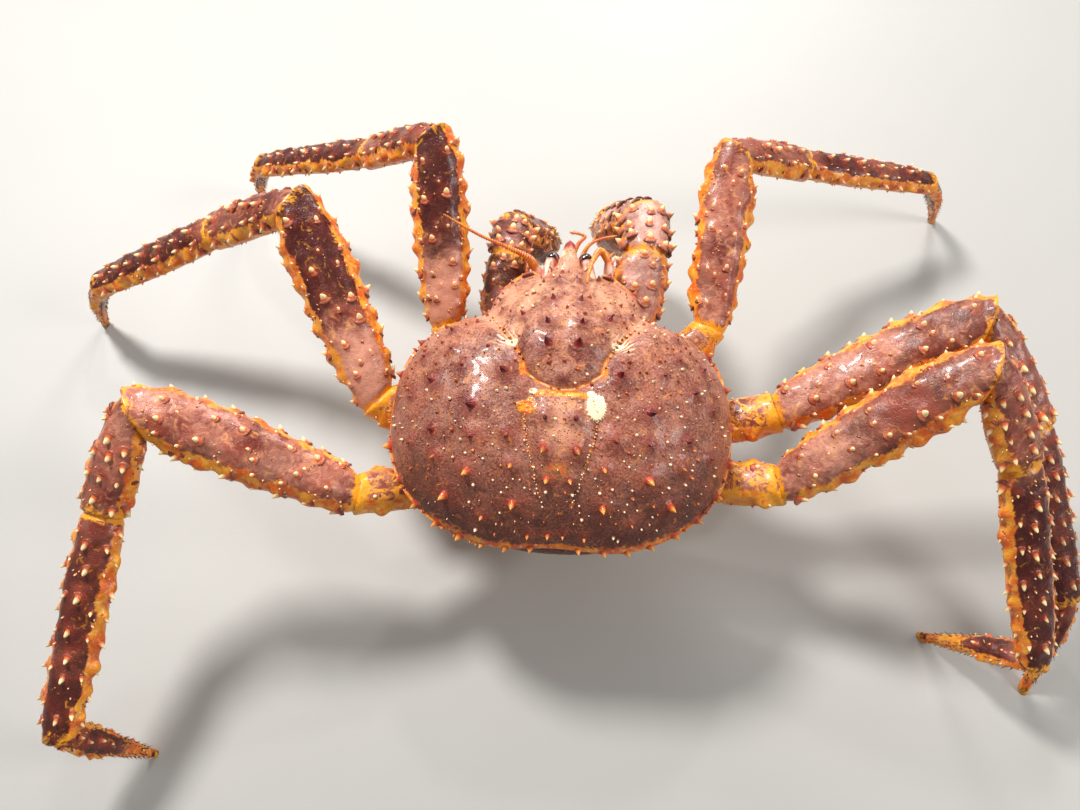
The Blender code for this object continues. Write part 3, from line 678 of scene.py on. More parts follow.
def backSpinePlaces():
    # Roots, directions, lengths, radii and warmth of the spines on the back and round the edge
    both = [(x * side, y, size) for x, y, size in backSpines for side in (-1, 1)] + middleSpines
    x, y = (np.array([row[k] for row in both], float) for k in (0, 1))
    x += np.where(x == 0, 0, rng.uniform(-0.8, 0.8, len(x)))
    sizes = np.array([spineSizes[row[2]] for row in both]) * rng.uniform(0.88, 1.1, (len(both), 1))
    out = unit(np.stack([x, y - carapace["centreY"], np.zeros_like(x)], -1) + 1e-6)
    roots = np.stack([x, y, backHeight(x, y)], -1)
    ways = unit(backNormal(x, y) + out * 0.35)
    warm = np.maximum(ease(-y, 18, 44), ease(np.abs(x), 74, 86))
    turn = np.radians(np.array([row[0] for row in edgeSpines], float))
    turn = np.concatenate([turn, math.pi - turn])
    edgeOut, edgeRoots = rimPlaces(turn, 2)
    edgeSizes = np.array([spineSizes[row[1]] for row in edgeSpines] * 2)
    edgeSizes = edgeSizes * rng.uniform(0.9, 1.1, (len(turn), 1))
    edgeSizes = edgeSizes * (1.25 + 0.35 * ease(-np.sin(turn), 0.0, 0.6))[:, None]
    edgeWarm = 0.35 + 0.65 * ease(-np.sin(turn), -0.5, 0.3)
    return (
        np.concatenate([roots, edgeRoots]), np.concatenate([ways, unit(edgeOut + upward * 0.15)]),
        np.concatenate([sizes, edgeSizes]), np.concatenate([warm, edgeWarm]), len(roots),
    )


def granulePlaces(count, roots):
    # Small granules strewn over the back, closer together towards the tail and clear of the spines
    kept = []
    while len(kept) < count:
        x, y = rng.uniform(-90, 90), rng.uniform(-68, 96)
        turn = math.atan2(y - carapace["centreY"], x)
        if math.hypot(x, y - carapace["centreY"]) > edgeAt(turn)[0] * 0.965:
            continue
        if y > 15 and rng.uniform() < 0.45 and abs(x) < 40:
            continue
        apart = 3.0 if y > -25 else 2.4
        near = [(x - p[0]) ** 2 + (y - p[1]) ** 2 for p in kept]
        if near and min(near) < apart**2:
            continue
        if np.min((roots[:, 0] - x) ** 2 + (roots[:, 1] - y) ** 2) < 4.6**2:
            continue
        kept.append((x, y))
    return np.array(kept)


def dottedLine(line, apart):
    # Points along both copies of a line on the back, evenly apart
    points = np.array(line, float)
    run = np.concatenate([[0], np.cumsum(np.hypot(*np.diff(points, axis=0).T))])
    at = np.arange(0, run[-1], apart)
    x, y = np.interp(at, run, points[:, 0]), np.interp(at, run, points[:, 1])
    return np.concatenate([np.stack([x, y], 1), np.stack([-x, y], 1)])


def makeCarapace():
    c = carapace
    edge = carapaceEdge(c["columnsPerStretch"])
    turns = 2 * np.pi * (np.arange(len(edge)) / len(edge) - 0.25)
    rho = np.concatenate([np.linspace(0.012, 0.9, c["rows"] - 30), np.linspace(0.905, 0.999, 30)])[:, None]
    px = rho * (edge[:, 0] * rho + c["middleReach"] * np.cos(turns) * (1 - rho))
    py = c["centreY"] + rho * ((edge[:, 1] - c["centreY"]) * rho
        + c["middleReach"] * np.sin(turns) * (1 - rho))
    pz = backHeight(px, py)
    top = np.stack([px, py, pz], -1)
    roots, ways, sizes, warm, inner = backSpinePlaces()

    # Relief: swollen feet of spines, fine wrinkles, the crisp line in each groove
    form = Form(body=True)
    fade = np.clip((1 - rho) / 0.05, 0, 1)
    ax = np.abs(px)
    relief = nearness(top, roots[:inner], sizes[:inner, 1] * 1.5) * 1.5
    wrinkled = ease(py, 20, 45) * ease(-ax, -34, -14)
    relief += wrinkled * 0.9 * ruffle(top * (0.3, 1.0, 0.2), 3.4, 5)
    relief += 0.42 * ruffle(top, 9.0, 2) + 0.2 * ruffle(top, 3.4, 3)
    neck, neckRun = nearLine(ax, py, c["neckGroove"][0])
    flank = nearLine(ax, py, c["sideGroove"][0])[0]
    heart, heartRun = nearLine(ax, py, c["heartGroove"][0])
    relief -= 1.0 * bell(neck / 1.2) * ease(neckRun, 20, 40)
    relief -= 0.6 * bell(heart / 1.2) * (0.6 + 0.4 * np.cos(heartRun * 2.4))
    ovalX, ovalY = px - c["paleOval"][0], py - c["paleOval"][1]
    oval = np.hypot(ovalX / 5.4, ovalY / 6.8)
    knob = np.hypot((px + 16.8) / 5.2, (py + 8.6) / 4.6) + 0.25 * ruffle(top, 2.6, 9)
    band = bell((py + 1.9) / 2.3) * ease(-ax, -15.5, -12)
    relief += 0.8 * ease(-oval, -1.12, -0.8) + 0.7 * ease(-knob, -1.1, -0.7) + 0.7 * band
    top = top + backNormal(px, py) * (relief * fade)[..., None]

    # Markings: gold about the grooves, peach in front, pale fans, and dark towards the tail
    rim = (1 - rho) * np.hypot(edge[:, 0], edge[:, 1] - c["centreY"])
    gold = np.maximum.reduce([
        0.95 * band + 0.8 * bell((ax - 20.8) / 2.3, (py - 12.5) / 6.5),
        0.9 * ease(-knob, -1.15, -0.75),
        0.62 * bell(neck / 1.5) * ease(neckRun, 18, 30),
        0.62 * bell(heart / 1.4) * ease(ruffle(top, 3.0, 12), -0.3, 0.3),
        0.5 * bell(px / 11, (py + 38) / 6.5),
    ])
    blush = np.maximum.reduce([
        0.95 * bell((ax - 33) / 9, (py - 63) / 17),
        0.85 * bell(flank / 4.5),
        0.8 * bell(neck / 6.0) * ease(-neckRun, -55, -20),
        0.75 * bell(px / 15, (py + 18) / 17),
        0.5 * bell(px / 22, (py - 40) / 30),
        0.42 * ease(py, -10, 60),
    ])
    deep = 0.66 * ease(-py, 12, 66) + 0.3 * ease(ax, 30, 80) * ease(-py, -30, 10)
    angle, away = np.arctan2(py - 20, ax - 21), np.hypot(py - 20, ax - 21)
    rays = np.clip(0.5 + 0.5 * np.sin(angle * 38 + 2.5 * ruffle(top, 3.0, 6)), 0, 1) ** 1.5
    fan = rays * bell((away - 12) / 7.5) * bell((angle - 0.75) / 0.75)
    bright = bell((ax - 27) / 4.2, (py - 27.5) / 2.6)
    fibres = 0.1 * np.sin(np.arctan2(ovalY, ovalX) * 30 + 2 * ruffle(top, 1.6, 6))
    corner = bell((ax - 14.2) / 2.9, (py + 0.4) / 2.7)
    cream = np.maximum.reduce([
        ease(-(oval + fibres), -1.08, -0.85),
        0.9 * fan,
        ease(bright, 0.3, 0.8),
        0.6 * bell(neck / 0.55) * ease(neckRun, 46, 58) * ease(ruffle(top, 2.6, 4), -0.4, 0.2),
        0.8 * ease(corner + 0.2 * ruffle(top, 2.0, 9), 0.3, 0.9),
    ])
    hostWarm = np.maximum(ease(-py, 10, 44), ease(-rim, -9, -3))
    spot = nearness(top, roots, sizes[:, 1] * 1.95)
    margin = 0.8 * bell(rim / 1.7) + 0.16 * ease(-py, 40, 66) * bell(rim / 8.0)

    lower = []
    for scale, drop in c["underRings"]:
        share = drop / -c["underZ"]
        y = c["centreY"] + (edge[:, 1] - c["centreY"]) * scale
        z = edge[:, 2] * (1 - share) + c["underZ"] * share
        lower.append(np.stack([edge[:, 0] * scale, y, z], -1))
    below = np.repeat(ease(np.arange(len(lower)), 0, 3)[:, None], len(edge), 1)
    rings = np.concatenate([top, np.array(lower)])[:, ::-1]

    def allOver(values, lowerValue=0.0):
        return overTube(np.concatenate([values, np.full(below.shape, lowerValue)])[:, ::-1])

    points, faces = closedTube(rings)
    form.add(
        points, faces, edge=allOver(margin, 0.35), groove=allOver(gold * fade), blush=allOver(blush),
        deep=allOver(deep), cream=allOver(cream), warm=allOver(hostWarm, 1.0), spot=allOver(spot),
        under=overTube(np.concatenate([np.zeros(top.shape[:2]), below])[:, ::-1]), shade=0.8,
    )
    addSpines(form, roots[:inner], ways[:inner], sizes[:inner, 0], sizes[:inner, 1], warm[:inner])
    addSpines(form, roots[inner:], ways[inner:], sizes[inner:, 0], sizes[inner:, 1] * 1.15,
              warm[inner:], curl=-0.1)

    # Granules: small, blunt and pale at the top, and rows of them in the long grooves
    granulesAt = granulePlaces(c["granules"], roots)
    rows = np.concatenate([dottedLine(c["heartGroove"][0], 1.7), dottedLine(c["neckGroove"][0][1:4], 4.0)])
    rows += rng.uniform(-0.5, 0.5, rows.shape)
    grains = np.concatenate([granulesAt, rows])
    gx, gy = grains.T
    strewn = c["granules"]
    size = np.minimum(rng.gamma(3.0, 0.16, len(grains)) + 0.36, 1.3)
    size[strewn:] = rng.uniform(0.35, 0.7, len(grains) - strewn) * 1.15
    gz = backHeight(gx, gy)
    red = (gy > 12) & (rng.uniform(0, 1, len(grains)) < 0.6)
    pale = np.where(size > 0.7, 0.95, 0.6) * ease(rng.uniform(0, 1, len(grains)), 0.12, 0.4) * ~red
    pale[strewn:] = 0.85
    addSpines(form, np.stack([gx, gy, gz], -1), backNormal(gx, gy), size * 1.25 + 0.5, size * 1.1,
              np.where(red, 0.4, 0.75), blunt=0.9, curl=0.0, around=8, cream=pale, levels=fewRows)

    # Rostrum: a broad smooth beak with a red point, spines beside it and spinules round the edge
    t = np.linspace(0, 1, c["beakRows"])
    path = smoothPath([(0, 79, 16.0), (0, 90, 18.4), (0, 100, 18.4), (0, 107.8, 17.0)], c["beakRows"])
    wide = np.interp(t, (0, 0.3, 0.55, 0.85, 1), (10.5, 7.0, 4.4, 2.7, 0.7))
    halves = np.stack([wide, wide * np.interp(t, (0, 1), (0.42, 0.9))], -1)
    lumps = 0.05 * ruffle(path, 3.0, 27)[:, None] + np.zeros(c["beakAround"])
    beak = tubeAlong(path, halves, c["beakAround"], (1.0, 0.0, 0.0), 2.0, lumps)
    tt = allRound(t, c["beakAround"])
    points, faces = closedTube(beak)
    flecks = 0.75 * ease(ruffle(beak, 3.2, 28), 0.05, 0.5) * ease(tt, 0.25, 0.4) * ease(-tt, -0.68, -0.6)
    form.add(points, faces, blush=0.9, spine=overTube(ease(tt, 0.62, 0.74)), tip=0.24, warm=0.3,
             cream=overTube(flecks))
    tips = [
        ((0, 88, 20.0), (0, 3.5, 2.6), 1.6), ((4.8, 92, 16.5), (4, 7, 2.4), 2.3),
        ((-4.8, 92, 16.5), (-4, 7, 2.4), 2.3), ((8, 86, 15), (3, 4.5, 2.5), 2.0),
        ((-8, 86, 15), (-3, 4.5, 2.5), 2.0),
    ]
    starts, reaches, radii = (np.array([row[k] for row in tips], float) for k in range(3))
    addSpines(form, starts, reaches, np.linalg.norm(reaches, axis=1), radii, 0.12, curl=0.1)
    turn = np.radians(rng.uniform(-90, 270, 90))
    turn = turn[np.abs(np.sin(turn)) < 0.93]
    out, start = rimPlaces(turn, 0.9)
    length = rng.uniform(1.2, 2.8, len(turn))
    ways = out + upward * rng.uniform(-0.2, 0.5, len(turn))[:, None]
    addSpines(form, start, ways, length, length * 0.6, 0.9, blunt=0.4, levels=fewRows)
    form.make("carapace_shell", [finish["carapace"]], ["carapace"])


makeCarapace()
print("carapace made")


# Limbs

legs = dict(
    lengths={2: (106, 63, 105, 66), 3: (118, 65, 101, 62), 4: (120, 58, 112, 66)},
    widths={2: (29, 24, 21, 15), 3: (33, 26, 23, 16), 4: (32, 26, 24, 16)},
    thickness=0.7, footRadius=2.0,
    roots={2: (46, 34, -34), 3: (54, 8, -34), 4: (50, -18, -33)},
    # Hip, then heading from +Y towards +X and rise of each segment, then the last heading
    pose={
        ("left", 2): ((-67, 69, -12), (-3, 35), (-62, -38), (-68, -29), -44),
        ("left", 3): ((-103, 20, -12), (-25, 26), (-83, -31), (-93, -29), -78),
        ("left", 4): ((-110, -35, -12), (-74, 22), (-158, -33), (-170, -21), 99),
        ("right", 2): ((85, 66, -12), (9, 22), (70, -30), (80, -21), 65),
        ("right", 3): ((118, 13, -12), (72, 24), (150, -30), (160, -36), 195),
        ("right", 4): ((115, -30, -12), (68, 36), (147, -43), (166, -38), -58),
    },
)
claws = dict(
    # Root, hip, elbow, wrist, knuckle and finger tips, then the width of the merus
    left=([(-26, 48, -34), (-36, 68, -28), (-32, 112, -8), (-29, 138, -10), (-14, 152, -46),
        (2, 146, -70)], 26),
    right=([(26, 48, -34), (38, 66, -29), (50, 112, -6), (52, 144, -8), (38, 162, -46),
        (26, 158, -80)], 31),
)
# Outlines of segments: fraction along, width and thickness over the greatest
limbShapes = {
    "ischium": [(0, 1.0, 1.0), (0.5, 1.0, 1.0), (0.8, 1.05, 1.0), (1, 0.94, 0.92)],
    "merus": [
        (0, 0.66, 0.8), (0.16, 0.84, 0.92), (0.45, 0.98, 1.0), (0.75, 1.0, 1.0), (0.92, 0.92, 0.98),
        (1, 0.82, 0.9),
    ],
    "carpus": [(0, 0.8, 0.9), (0.3, 0.9, 1.0), (0.75, 1.0, 1.0), (1, 0.9, 0.95)],
    "propodus": [(0, 0.88, 1.0), (0.25, 1.0, 1.0), (0.6, 0.95, 0.95), (0.85, 0.85, 0.9), (1, 0.76, 0.85)],
    "palm": [(0, 0.66, 0.75), (0.3, 0.95, 0.95), (0.7, 1.05, 1.05), (1, 0.95, 1.0)],
}
# Rows of spines: degrees round, first and last fraction, count, length, foot radius and
# creaminess of the point
legSpines = {
    "ischium": [
        (60, 0.35, 0.8, 2, 3.0, 2.2, 0.5), (8, 0.35, 0.9, 2, 3.6, 3.0, 0.3),
        (172, 0.35, 0.9, 2, 3.6, 3.0, 0.3),
    ],
    "merus": [
        (5, 0.08, 0.95, 9, 5.0, 3.8, 0.3), (175, 0.07, 0.94, 9, 5.0, 3.8, 0.3),
        (42, 0.16, 0.9, 6, 2.6, 1.9, 0.8),
        (68, 0.12, 0.88, 5, 3.4, 2.6, 0.9), (112, 0.2, 0.84, 5, 3.4, 2.6, 0.9),
        (140, 0.12, 0.9, 6, 2.6, 1.9, 0.8),
        (90, 0.25, 0.75, 3, 2.2, 1.7, 0.9), (250, 0.2, 0.85, 5, 3.0, 1.9, 0.4),
        (292, 0.2, 0.85, 5, 3.0, 1.9, 0.4),
    ],
    "carpus": [
        (8, 0.2, 0.92, 4, 5.2, 3.5, 0.4), (172, 0.22, 0.92, 4, 5.2, 3.5, 0.4),
        (50, 0.3, 0.9, 4, 3.8, 2.4, 0.8),
        (92, 0.28, 0.86, 4, 4.8, 2.8, 0.8), (132, 0.25, 0.85, 4, 3.6, 2.2, 0.8),
        (265, 0.3, 0.8, 3, 2.8, 1.7, 0.4),
    ],
    "propodus": [
        (8, 0.08, 0.92, 8, 5.4, 3.0, 0.5), (172, 0.1, 0.94, 8, 5.4, 3.0, 0.5),
        (48, 0.12, 0.86, 6, 3.8, 1.9, 0.9),
        (88, 0.16, 0.88, 7, 4.4, 2.2, 0.9), (128, 0.1, 0.84, 6, 3.6, 1.8, 0.9),
        (235, 0.15, 0.85, 6, 3.0, 1.5, 0.5),
        (300, 0.15, 0.85, 6, 3.0, 1.5, 0.5),
    ],
    "dactylus": [
        (90, 0.1, 0.42, 4, 2.8, 1.5, 0.5), (20, 0.08, 0.4, 4, 2.6, 1.5, 0.5),
        (160, 0.08, 0.4, 4, 2.6, 1.5, 0.5),
    ],
}
clawSpines = {
    "ischium": [(60, 0.35, 0.8, 2, 2.6, 2.2, 0.5)],
    "merus": [
        (10, 0.25, 0.9, 5, 5.2, 3.7, 0.35), (170, 0.25, 0.9, 5, 5.2, 3.7, 0.35),
        (60, 0.3, 0.88, 4, 3.4, 3.0, 0.6),
        (115, 0.3, 0.88, 4, 3.4, 3.0, 0.6), (88, 0.55, 0.92, 2, 3.8, 3.2, 0.5),
        (270, 0.3, 0.8, 3, 2.8, 2.0, 0.4),
    ],
    "carpus": [
        (15, 0.2, 0.85, 3, 6.6, 4.4, 0.35), (165, 0.2, 0.85, 3, 6.6, 4.4, 0.35),
        (55, 0.25, 0.85, 3, 4.4, 3.6, 0.6),
        (95, 0.25, 0.8, 3, 4.8, 3.8, 0.6), (130, 0.2, 0.85, 3, 4.0, 3.4, 0.6),
        (265, 0.3, 0.8, 2, 3.0, 2.2, 0.4),
    ],
    "palm": [
        (18, 0.15, 0.85, 4, 4.8, 3.6, 0.5), (162, 0.15, 0.85, 4, 4.8, 3.6, 0.5),
        (50, 0.2, 0.85, 4, 3.8, 3.2, 0.6),
        (88, 0.15, 0.85, 4, 4.6, 3.4, 0.6), (125, 0.2, 0.85, 4, 3.8, 3.2, 0.6),
        (300, 0.25, 0.8, 3, 3.0, 2.2, 0.6),
        (240, 0.25, 0.8, 3, 3.0, 2.2, 0.6),
    ],
}
limbSkin = dict(
    around=64, rowLength=1.25, power=2.3, fringe=1.6, scallop=2.2, neckLength=5.0, neckScale=0.86,
    collar=0.5, collarLength=6.0, lean=0.85, kneeLength=1.0, kneeRound=1.8,
    # Rings that close the ends: size over that of the end, and shift along the limb
    firstRings=((0.3, -3.4), (0.55, -3.0), (0.66, -1.6)),
    lastRings=((0.96, 0.5), (0.88, 1.0), (0.7, 1.4), (0.4, 1.6), (0.15, 1.6)),
)
# What sets a segment apart, unless its own tone says otherwise
plainTone = dict(
    fringe=1.0, neck=1.0, openEnd=True, joint=0.0, edge=0.0, under=0.85, deepSide=0.25, kneeToneAndShade=0.0,
        point=0.0,
)


def direction(heading, rise):
    h, r = math.radians(heading), math.radians(rise)
    return np.array((math.sin(h) * math.cos(r), math.cos(h) * math.cos(r), math.sin(r)))


def legJoints(side, pair):
    hip, merus, carpus, propodus, heading = legs["pose"][side, pair]
    x, y, z = legs["roots"][pair]
    joints = [np.array((x * sides[side], y, z), float), np.array(hip, float)]
    for pose, length in zip((merus, carpus, propodus), legs["lengths"][pair]):
        joints.append(joints[-1] + direction(*pose) * length)
    last = legs["lengths"][pair][3]
    rise = -math.degrees(math.asin((joints[-1][2] - floorLevel) / last))
    return joints + [joints[-1] + direction(heading, rise) * last]


def jointPlanes(joints):
    ways = [unit(b - a) for a, b in zip(joints[:-1], joints[1:])]
    return [ways[0]] + [unit(a + b) for a, b in zip(ways[:-1], ways[1:])] + [ways[-1]]


class Limb:
    # One segment between two joints, whose ends lie on the planes of the joints
    def __init__(self, start, end, width, thickness, shape, startPlane, endPlane, bow=0.0):
        self.start, self.end = start, end
        self.length = float(np.linalg.norm(end - start))
        self.way = (end - start) / self.length
        self.side = unit(np.cross(upward, self.way))
        self.top = np.cross(self.way, self.side)
        self.width, self.thickness, self.shape, self.bow = width, thickness, np.array(shape, float), bow
        self.startPlane, self.endPlane = startPlane, endPlane

    def middle(self, t):
        t = np.asarray(t, float)[..., None]
        return self.start + self.way * (self.length * t) + self.top * (self.bow * np.sin(math.pi * t))

    def halves(self, t):
        found = []
        for k, full in ((1, self.width), (2, self.thickness)):
            nearby = [np.interp(t + shift, self.shape[:, 0], self.shape[:, k]) for shift in (-0.05, 0,
                0, 0.05)]
            found.append(full / 2 * sum(nearby) / 4)
        return found

    def surface(self, t, turn, rise=0.0, scale=1.0, shift=0.0):
        # Points on the skin at fractions along and turns round, raised, shrunk or shifted along
        t, turn = np.broadcast_arrays(np.asarray(t, float), np.asarray(turn, float))
        wide, deep = self.halves(t)
        cos, sin = np.cos(turn), np.sin(turn)
        u = wide * np.sign(cos) * np.abs(cos) ** (2 / limbSkin["power"])
        v = deep * np.sign(sin) * np.abs(sin) ** (2 / limbSkin["power"])
        out = unit(self.side * (cos * deep)[..., None] + self.top * (sin * wide)[..., None])
        offset = (self.side * u[..., None] + self.top * v[..., None]) * np.asarray(scale)[..., None]
        offset = offset * (1 - self.kneeCut(offset, t))[..., None]
        offset = offset + out * np.asarray(rise, float)[..., None]
        slide = self.slide(offset, self.startPlane, t, 0.15) + self.slide(offset, self.endPlane, 1 - t,
            -0.15)
        return self.middle(t) + offset + self.way * (slide + shift)[..., None], out

    def kneeCut(self, offset, t):
        # How much the outer side of a bend draws in so that the knee is round
        cut = np.zeros(t.shape)
        ends = [(self.startPlane, t, 1)] if self.bow else [(self.startPlane, t, 1),
            (self.endPlane, 1 - t, -1)]
        for plane, share, outer in ends:
            straight = self.way.dot(plane)
            lean = plane - self.way * straight
            support = np.hypot(lean @ self.side * self.width, lean @ self.top * self.thickness) / 2
            close = np.clip(1 - share * self.length / (limbSkin["kneeLength"] * self.width), 0, 1) ** 2
            outward = np.clip(outer * (offset @ lean) / max(support, 1.0), 0, 1)
            cut = cut + close * outward * (1 - straight) * limbSkin["kneeRound"]
        return np.minimum(cut, 0.6)

    def slide(self, offset, plane, share, lift):
        fade = np.maximum(0, 1 - share * self.length / min(self.width, self.length / 2))
        return fade * (lift - offset @ plane) / self.way.dot(plane)


def limbSpinePlaces(limb, rows, scale):
    # Roots, directions, lengths, radii, turns and creaminess of a limb's spines
    found = []
    for degrees, first, last, count, length, radius, cream in rows:
        for k in range(count):
            t = first + (last - first) * (k + rng.uniform(-0.22, 0.22)) / max(count - 1, 1)
            t = min(max(t, 0.05), 0.96)
            turn = math.radians(degrees + rng.uniform(-7, 7))
            root, out = limb.surface(t, turn)
            lean = unit(out + limb.way * limbSkin["lean"] * rng.uniform(0.6, 1.15))
            grown = scale * rng.uniform(0.72, 1.15)
            stout = radius * (1 + 0.25 * abs(math.sin(turn)))
            ahead = (limb.end - root - lean * length * grown) @ limb.endPlane
            behind = (root - limb.start) @ limb.startPlane - stout * grown
            if min(ahead, behind) > 0.6:
                root = root - out * 0.3
                found.append((root, lean, length * grown, stout * grown, turn,
                    cream * rng.uniform(0.5, 1.2)))
    return found


def addLimb(form, limb, rows, scale, tone):
    # The skin of one segment with its spines. Tone holds the marks that set it apart
    s = limbSkin
    tone = {**plainTone, **tone}
    count = max(24, int(limb.length / s["rowLength"]))
    around = s["around"]
    turn = 2 * np.pi * np.arange(around)[None] / around
    t = np.linspace(0, 1, count)[:, None]
    along = t * limb.length
    places = limbSpinePlaces(limb, rows, scale)

    # Fringes along the front and rear margins, with a lobe at each spine
    plain = limb.surface(t, turn + 0 * t)[0]
    toMargin = np.abs(np.arctan2(np.sin(turn), np.abs(np.cos(turn))))
    fringe = bell(toMargin / 0.3) * tone["fringe"]
    window = ease(along, 4, 14) * ease(limb.length - along, 2, 9)
    roots = np.array([row[0] for row in places]) if places else np.zeros((0, 3))
    radii = np.array([row[3] for row in places])
    lobes = nearness(plain, roots, radii * 1.5) if len(roots) else 0 * t
    rise = fringe * window * s["fringe"] * (ruffle(plain, 6.5, 4) - 0.3)
    rise = rise + lobes * window * (0.8 + s["scallop"] * fringe)
    ridge = bell((turn - 1.15) / 0.2) + bell((turn - 2.0) / 0.2)
    rise = rise + 0.55 * ridge * window * (0.4 + ruffle(plain, 8.0, 7))
    rise = rise + 0.42 * ruffle(plain, 7.5, 3) + 0.2 * ruffle(plain, 2.8, 6)
    rise = rise + s["collar"] * ease(along, limb.length - s["collarLength"], limb.length - 1.5)
    neck = s["neckScale"] + (1 - s["neckScale"]) * ease(along, 0.3, s["neckLength"])
    neck = 1 - (1 - neck) * tone["neck"]
    body = limb.surface(t, turn + 0 * t, rise, neck + 0 * turn)[0]

    def closing(at, lift, rings):
        row = np.full((1, around), at)
        return [limb.surface(row, turn, lift * k, 0 * row + k, shift)[0] for k, shift in rings]

    first = closing(0.0, 0.0, s["firstRings"])
    last = closing(1.0, rise[-1:], s["lastRings"]) if tone["openEnd"] else []
    points, faces = closedTube(np.concatenate([*first, body, *last]))

    def padded(values, start=0.0, end=0.0):
        values = np.broadcast_to(values, (count, around))
        before, after = np.full((len(first), around), start), np.full((len(last), around), end)
        return overTube(np.concatenate([before, values, after]))

    low = ease(-np.sin(turn), 0.28, 0.85) + 0 * t
    # Darker on the front and rear faces of each segment above the pale underside: partly the leg's own
    # maroon, partly painted shade
    sideToneAndShade = ease(np.abs(np.cos(turn)), 0.55, 0.98) * ease(np.sin(turn), -0.5, 0.2) + 0 * t
    atStart = 0.85 * ease(-along, -s["neckLength"] * 1.2, -1.0)
    atEnd = 0.5 * ease(along, limb.length - 7.0, limb.length - 0.5)
    joint = np.maximum(atStart, atEnd) + tone["joint"]
    uneven = ruffle(plain, 9.0, 9)
    band = ease(-toMargin, -1.02 - 0.3 * uneven, -0.4 - 0.2 * uneven)
    edge = 0.92 * band * tone["fringe"] + tone["edge"]
    lobe = nearness(plain, roots, radii * 1.6) if len(roots) else 0 * t
    edge = np.maximum(edge, 0.9 * lobe * band)
    deep = tone["deep"] + tone["deepSide"] * ruffle(plain, 24.0, 11) + 0.25 * sideToneAndShade
    # Darker towards the knee on some legs: partly their own tone, partly painted shade
    deep = deep * (1 - 0.6 * ease(-along, -16, -5)) + tone["kneeToneAndShade"] * ease(t, 0.15, 0.75)
    edge = np.maximum(edge, tone["point"] * ease(t, 0.4, 0.7) * ease(-t, -0.98, -0.88))
    deep = deep * (1 - tone["point"] * ease(t, 0.4, 0.7)) + tone["point"] * ease(t, 0.88, 0.95)
    blush = tone["blush"] * (0.6 + 0.6 * ruffle(plain, 20.0, 13))
    # Paler towards the hip on the same legs, against that painted shade
    blush = blush + 0.6 * tone["kneeToneAndShade"] * ease(-t, -0.55, -0.2)
    form.add(
        points, faces, edge=padded(edge, 0, 0.4), joint=padded(joint + 0 * turn, 1.0, 0.6),
        under=padded(low * tone["under"]), deep=padded(deep), blush=padded(blush), warm=1.0,
        spot=padded(lobe * 0.9), shade=0.8,
    )
    if places:
        ways = np.array([row[1] for row in places])
        lengths, turns, cream = (np.array([row[k] for row in places]) for k in (2, 4, 5))
        addSpines(form, roots, ways, lengths, radii, 1.0, blunt=0.35 + 0.6 * np.abs(np.sin(turns)),
                  curl=0.1, cream=np.clip(cream * 0.62, 0, 1))

    # Granules between the spines
    number = int(limb.length * limb.width / 34)
    spread = rng.uniform(0.06, 0.94, number)
    turns = rng.uniform(0, 2 * np.pi, number)
    spots, outs = limb.surface(spread, turns)
    clear = np.array([len(roots) == 0 or np.min(np.sum((roots - p) ** 2, axis=1)) > 9 for p in spots], bool)
    size = rng.uniform(0.45, 1.05, number)
    addSpines(form, spots[clear], (outs + limb.way * 0.3)[clear], size[clear] * 1.3 + 0.3, size[clear], 1.0,
              blunt=0.9, curl=0.0, around=7, cream=0.55, levels=fewRows)


legTones = {
    "ischium": dict(deep=-0.2, blush=0.5, joint=0.38, edge=0.4, neck=0.5, under=0.7),
    "merus": dict(deep=0.1, blush=0.48),
    "carpus": dict(deep=0.3, blush=0.4),
    "propodus": dict(deep=0.72, blush=0.05, under=0.6),
    "dactylus": dict(deep=0.75, blush=0.0, edge=0.1, openEnd=False, under=0.4, deepSide=0.1, point=0.8),
}
# How much darker the merus of each leg is at its knee than at its hip: partly its own dark tone, partly
# painted shade on legs that lay in shade
legToneAndPaintedShade = {
    ("left", 2): 0.85, ("left", 3): 0.85, ("left", 4): 0.0,
    ("right", 2): 0.05, ("right", 3): 0.35, ("right", 4): 0.4,
}


def makeLeg(side, pair):
    joints = legJoints(side, pair)
    planes = jointPlanes(joints)
    planes[-1] = -upward
    widths = legs["widths"][pair]
    foot = 2 * legs["footRadius"] / widths[3]
    tip = (1, foot, foot / legs["thickness"])
    dactylus = [(0, 1.0, 1.0), (0.25, 0.95, 0.95), (0.55, 0.7, 0.8), (0.82, 0.42, 0.5), tip]
    parts = ("ischium", "merus", "carpus", "propodus", "dactylus")
    shapes = {**limbShapes, "dactylus": dactylus}
    for k, part in enumerate(parts):
        width = (widths[0] * 0.7, *widths)[k]
        thick = width * (0.95 if part == "ischium" else legs["thickness"])
        bow = 3.0 if part == "dactylus" else 0.0
        limb = Limb(joints[k], joints[k + 1], width, thick, shapes[part], planes[k], planes[k + 1], bow)
        form = Form()
        tone = dict(legTones[part])
        # Legs that lay in shade are darker: partly their own tone, partly painted shade
        if part == "merus":
            tone["kneeToneAndShade"] = legToneAndPaintedShade[side, pair]
        elif part != "dactylus":
            tone["deep"] += 0.3 * legToneAndPaintedShade[side, pair]
        addLimb(form, limb, legSpines[part], 1.0 if pair > 2 else 0.92, tone)
        if part == "dactylus":
            addBristles(form, limb)
        node = f"leg_{side}_{pair}_{part}"
        form.make(node + "_shell", [finish["leg"], finish["horn"]], [node])


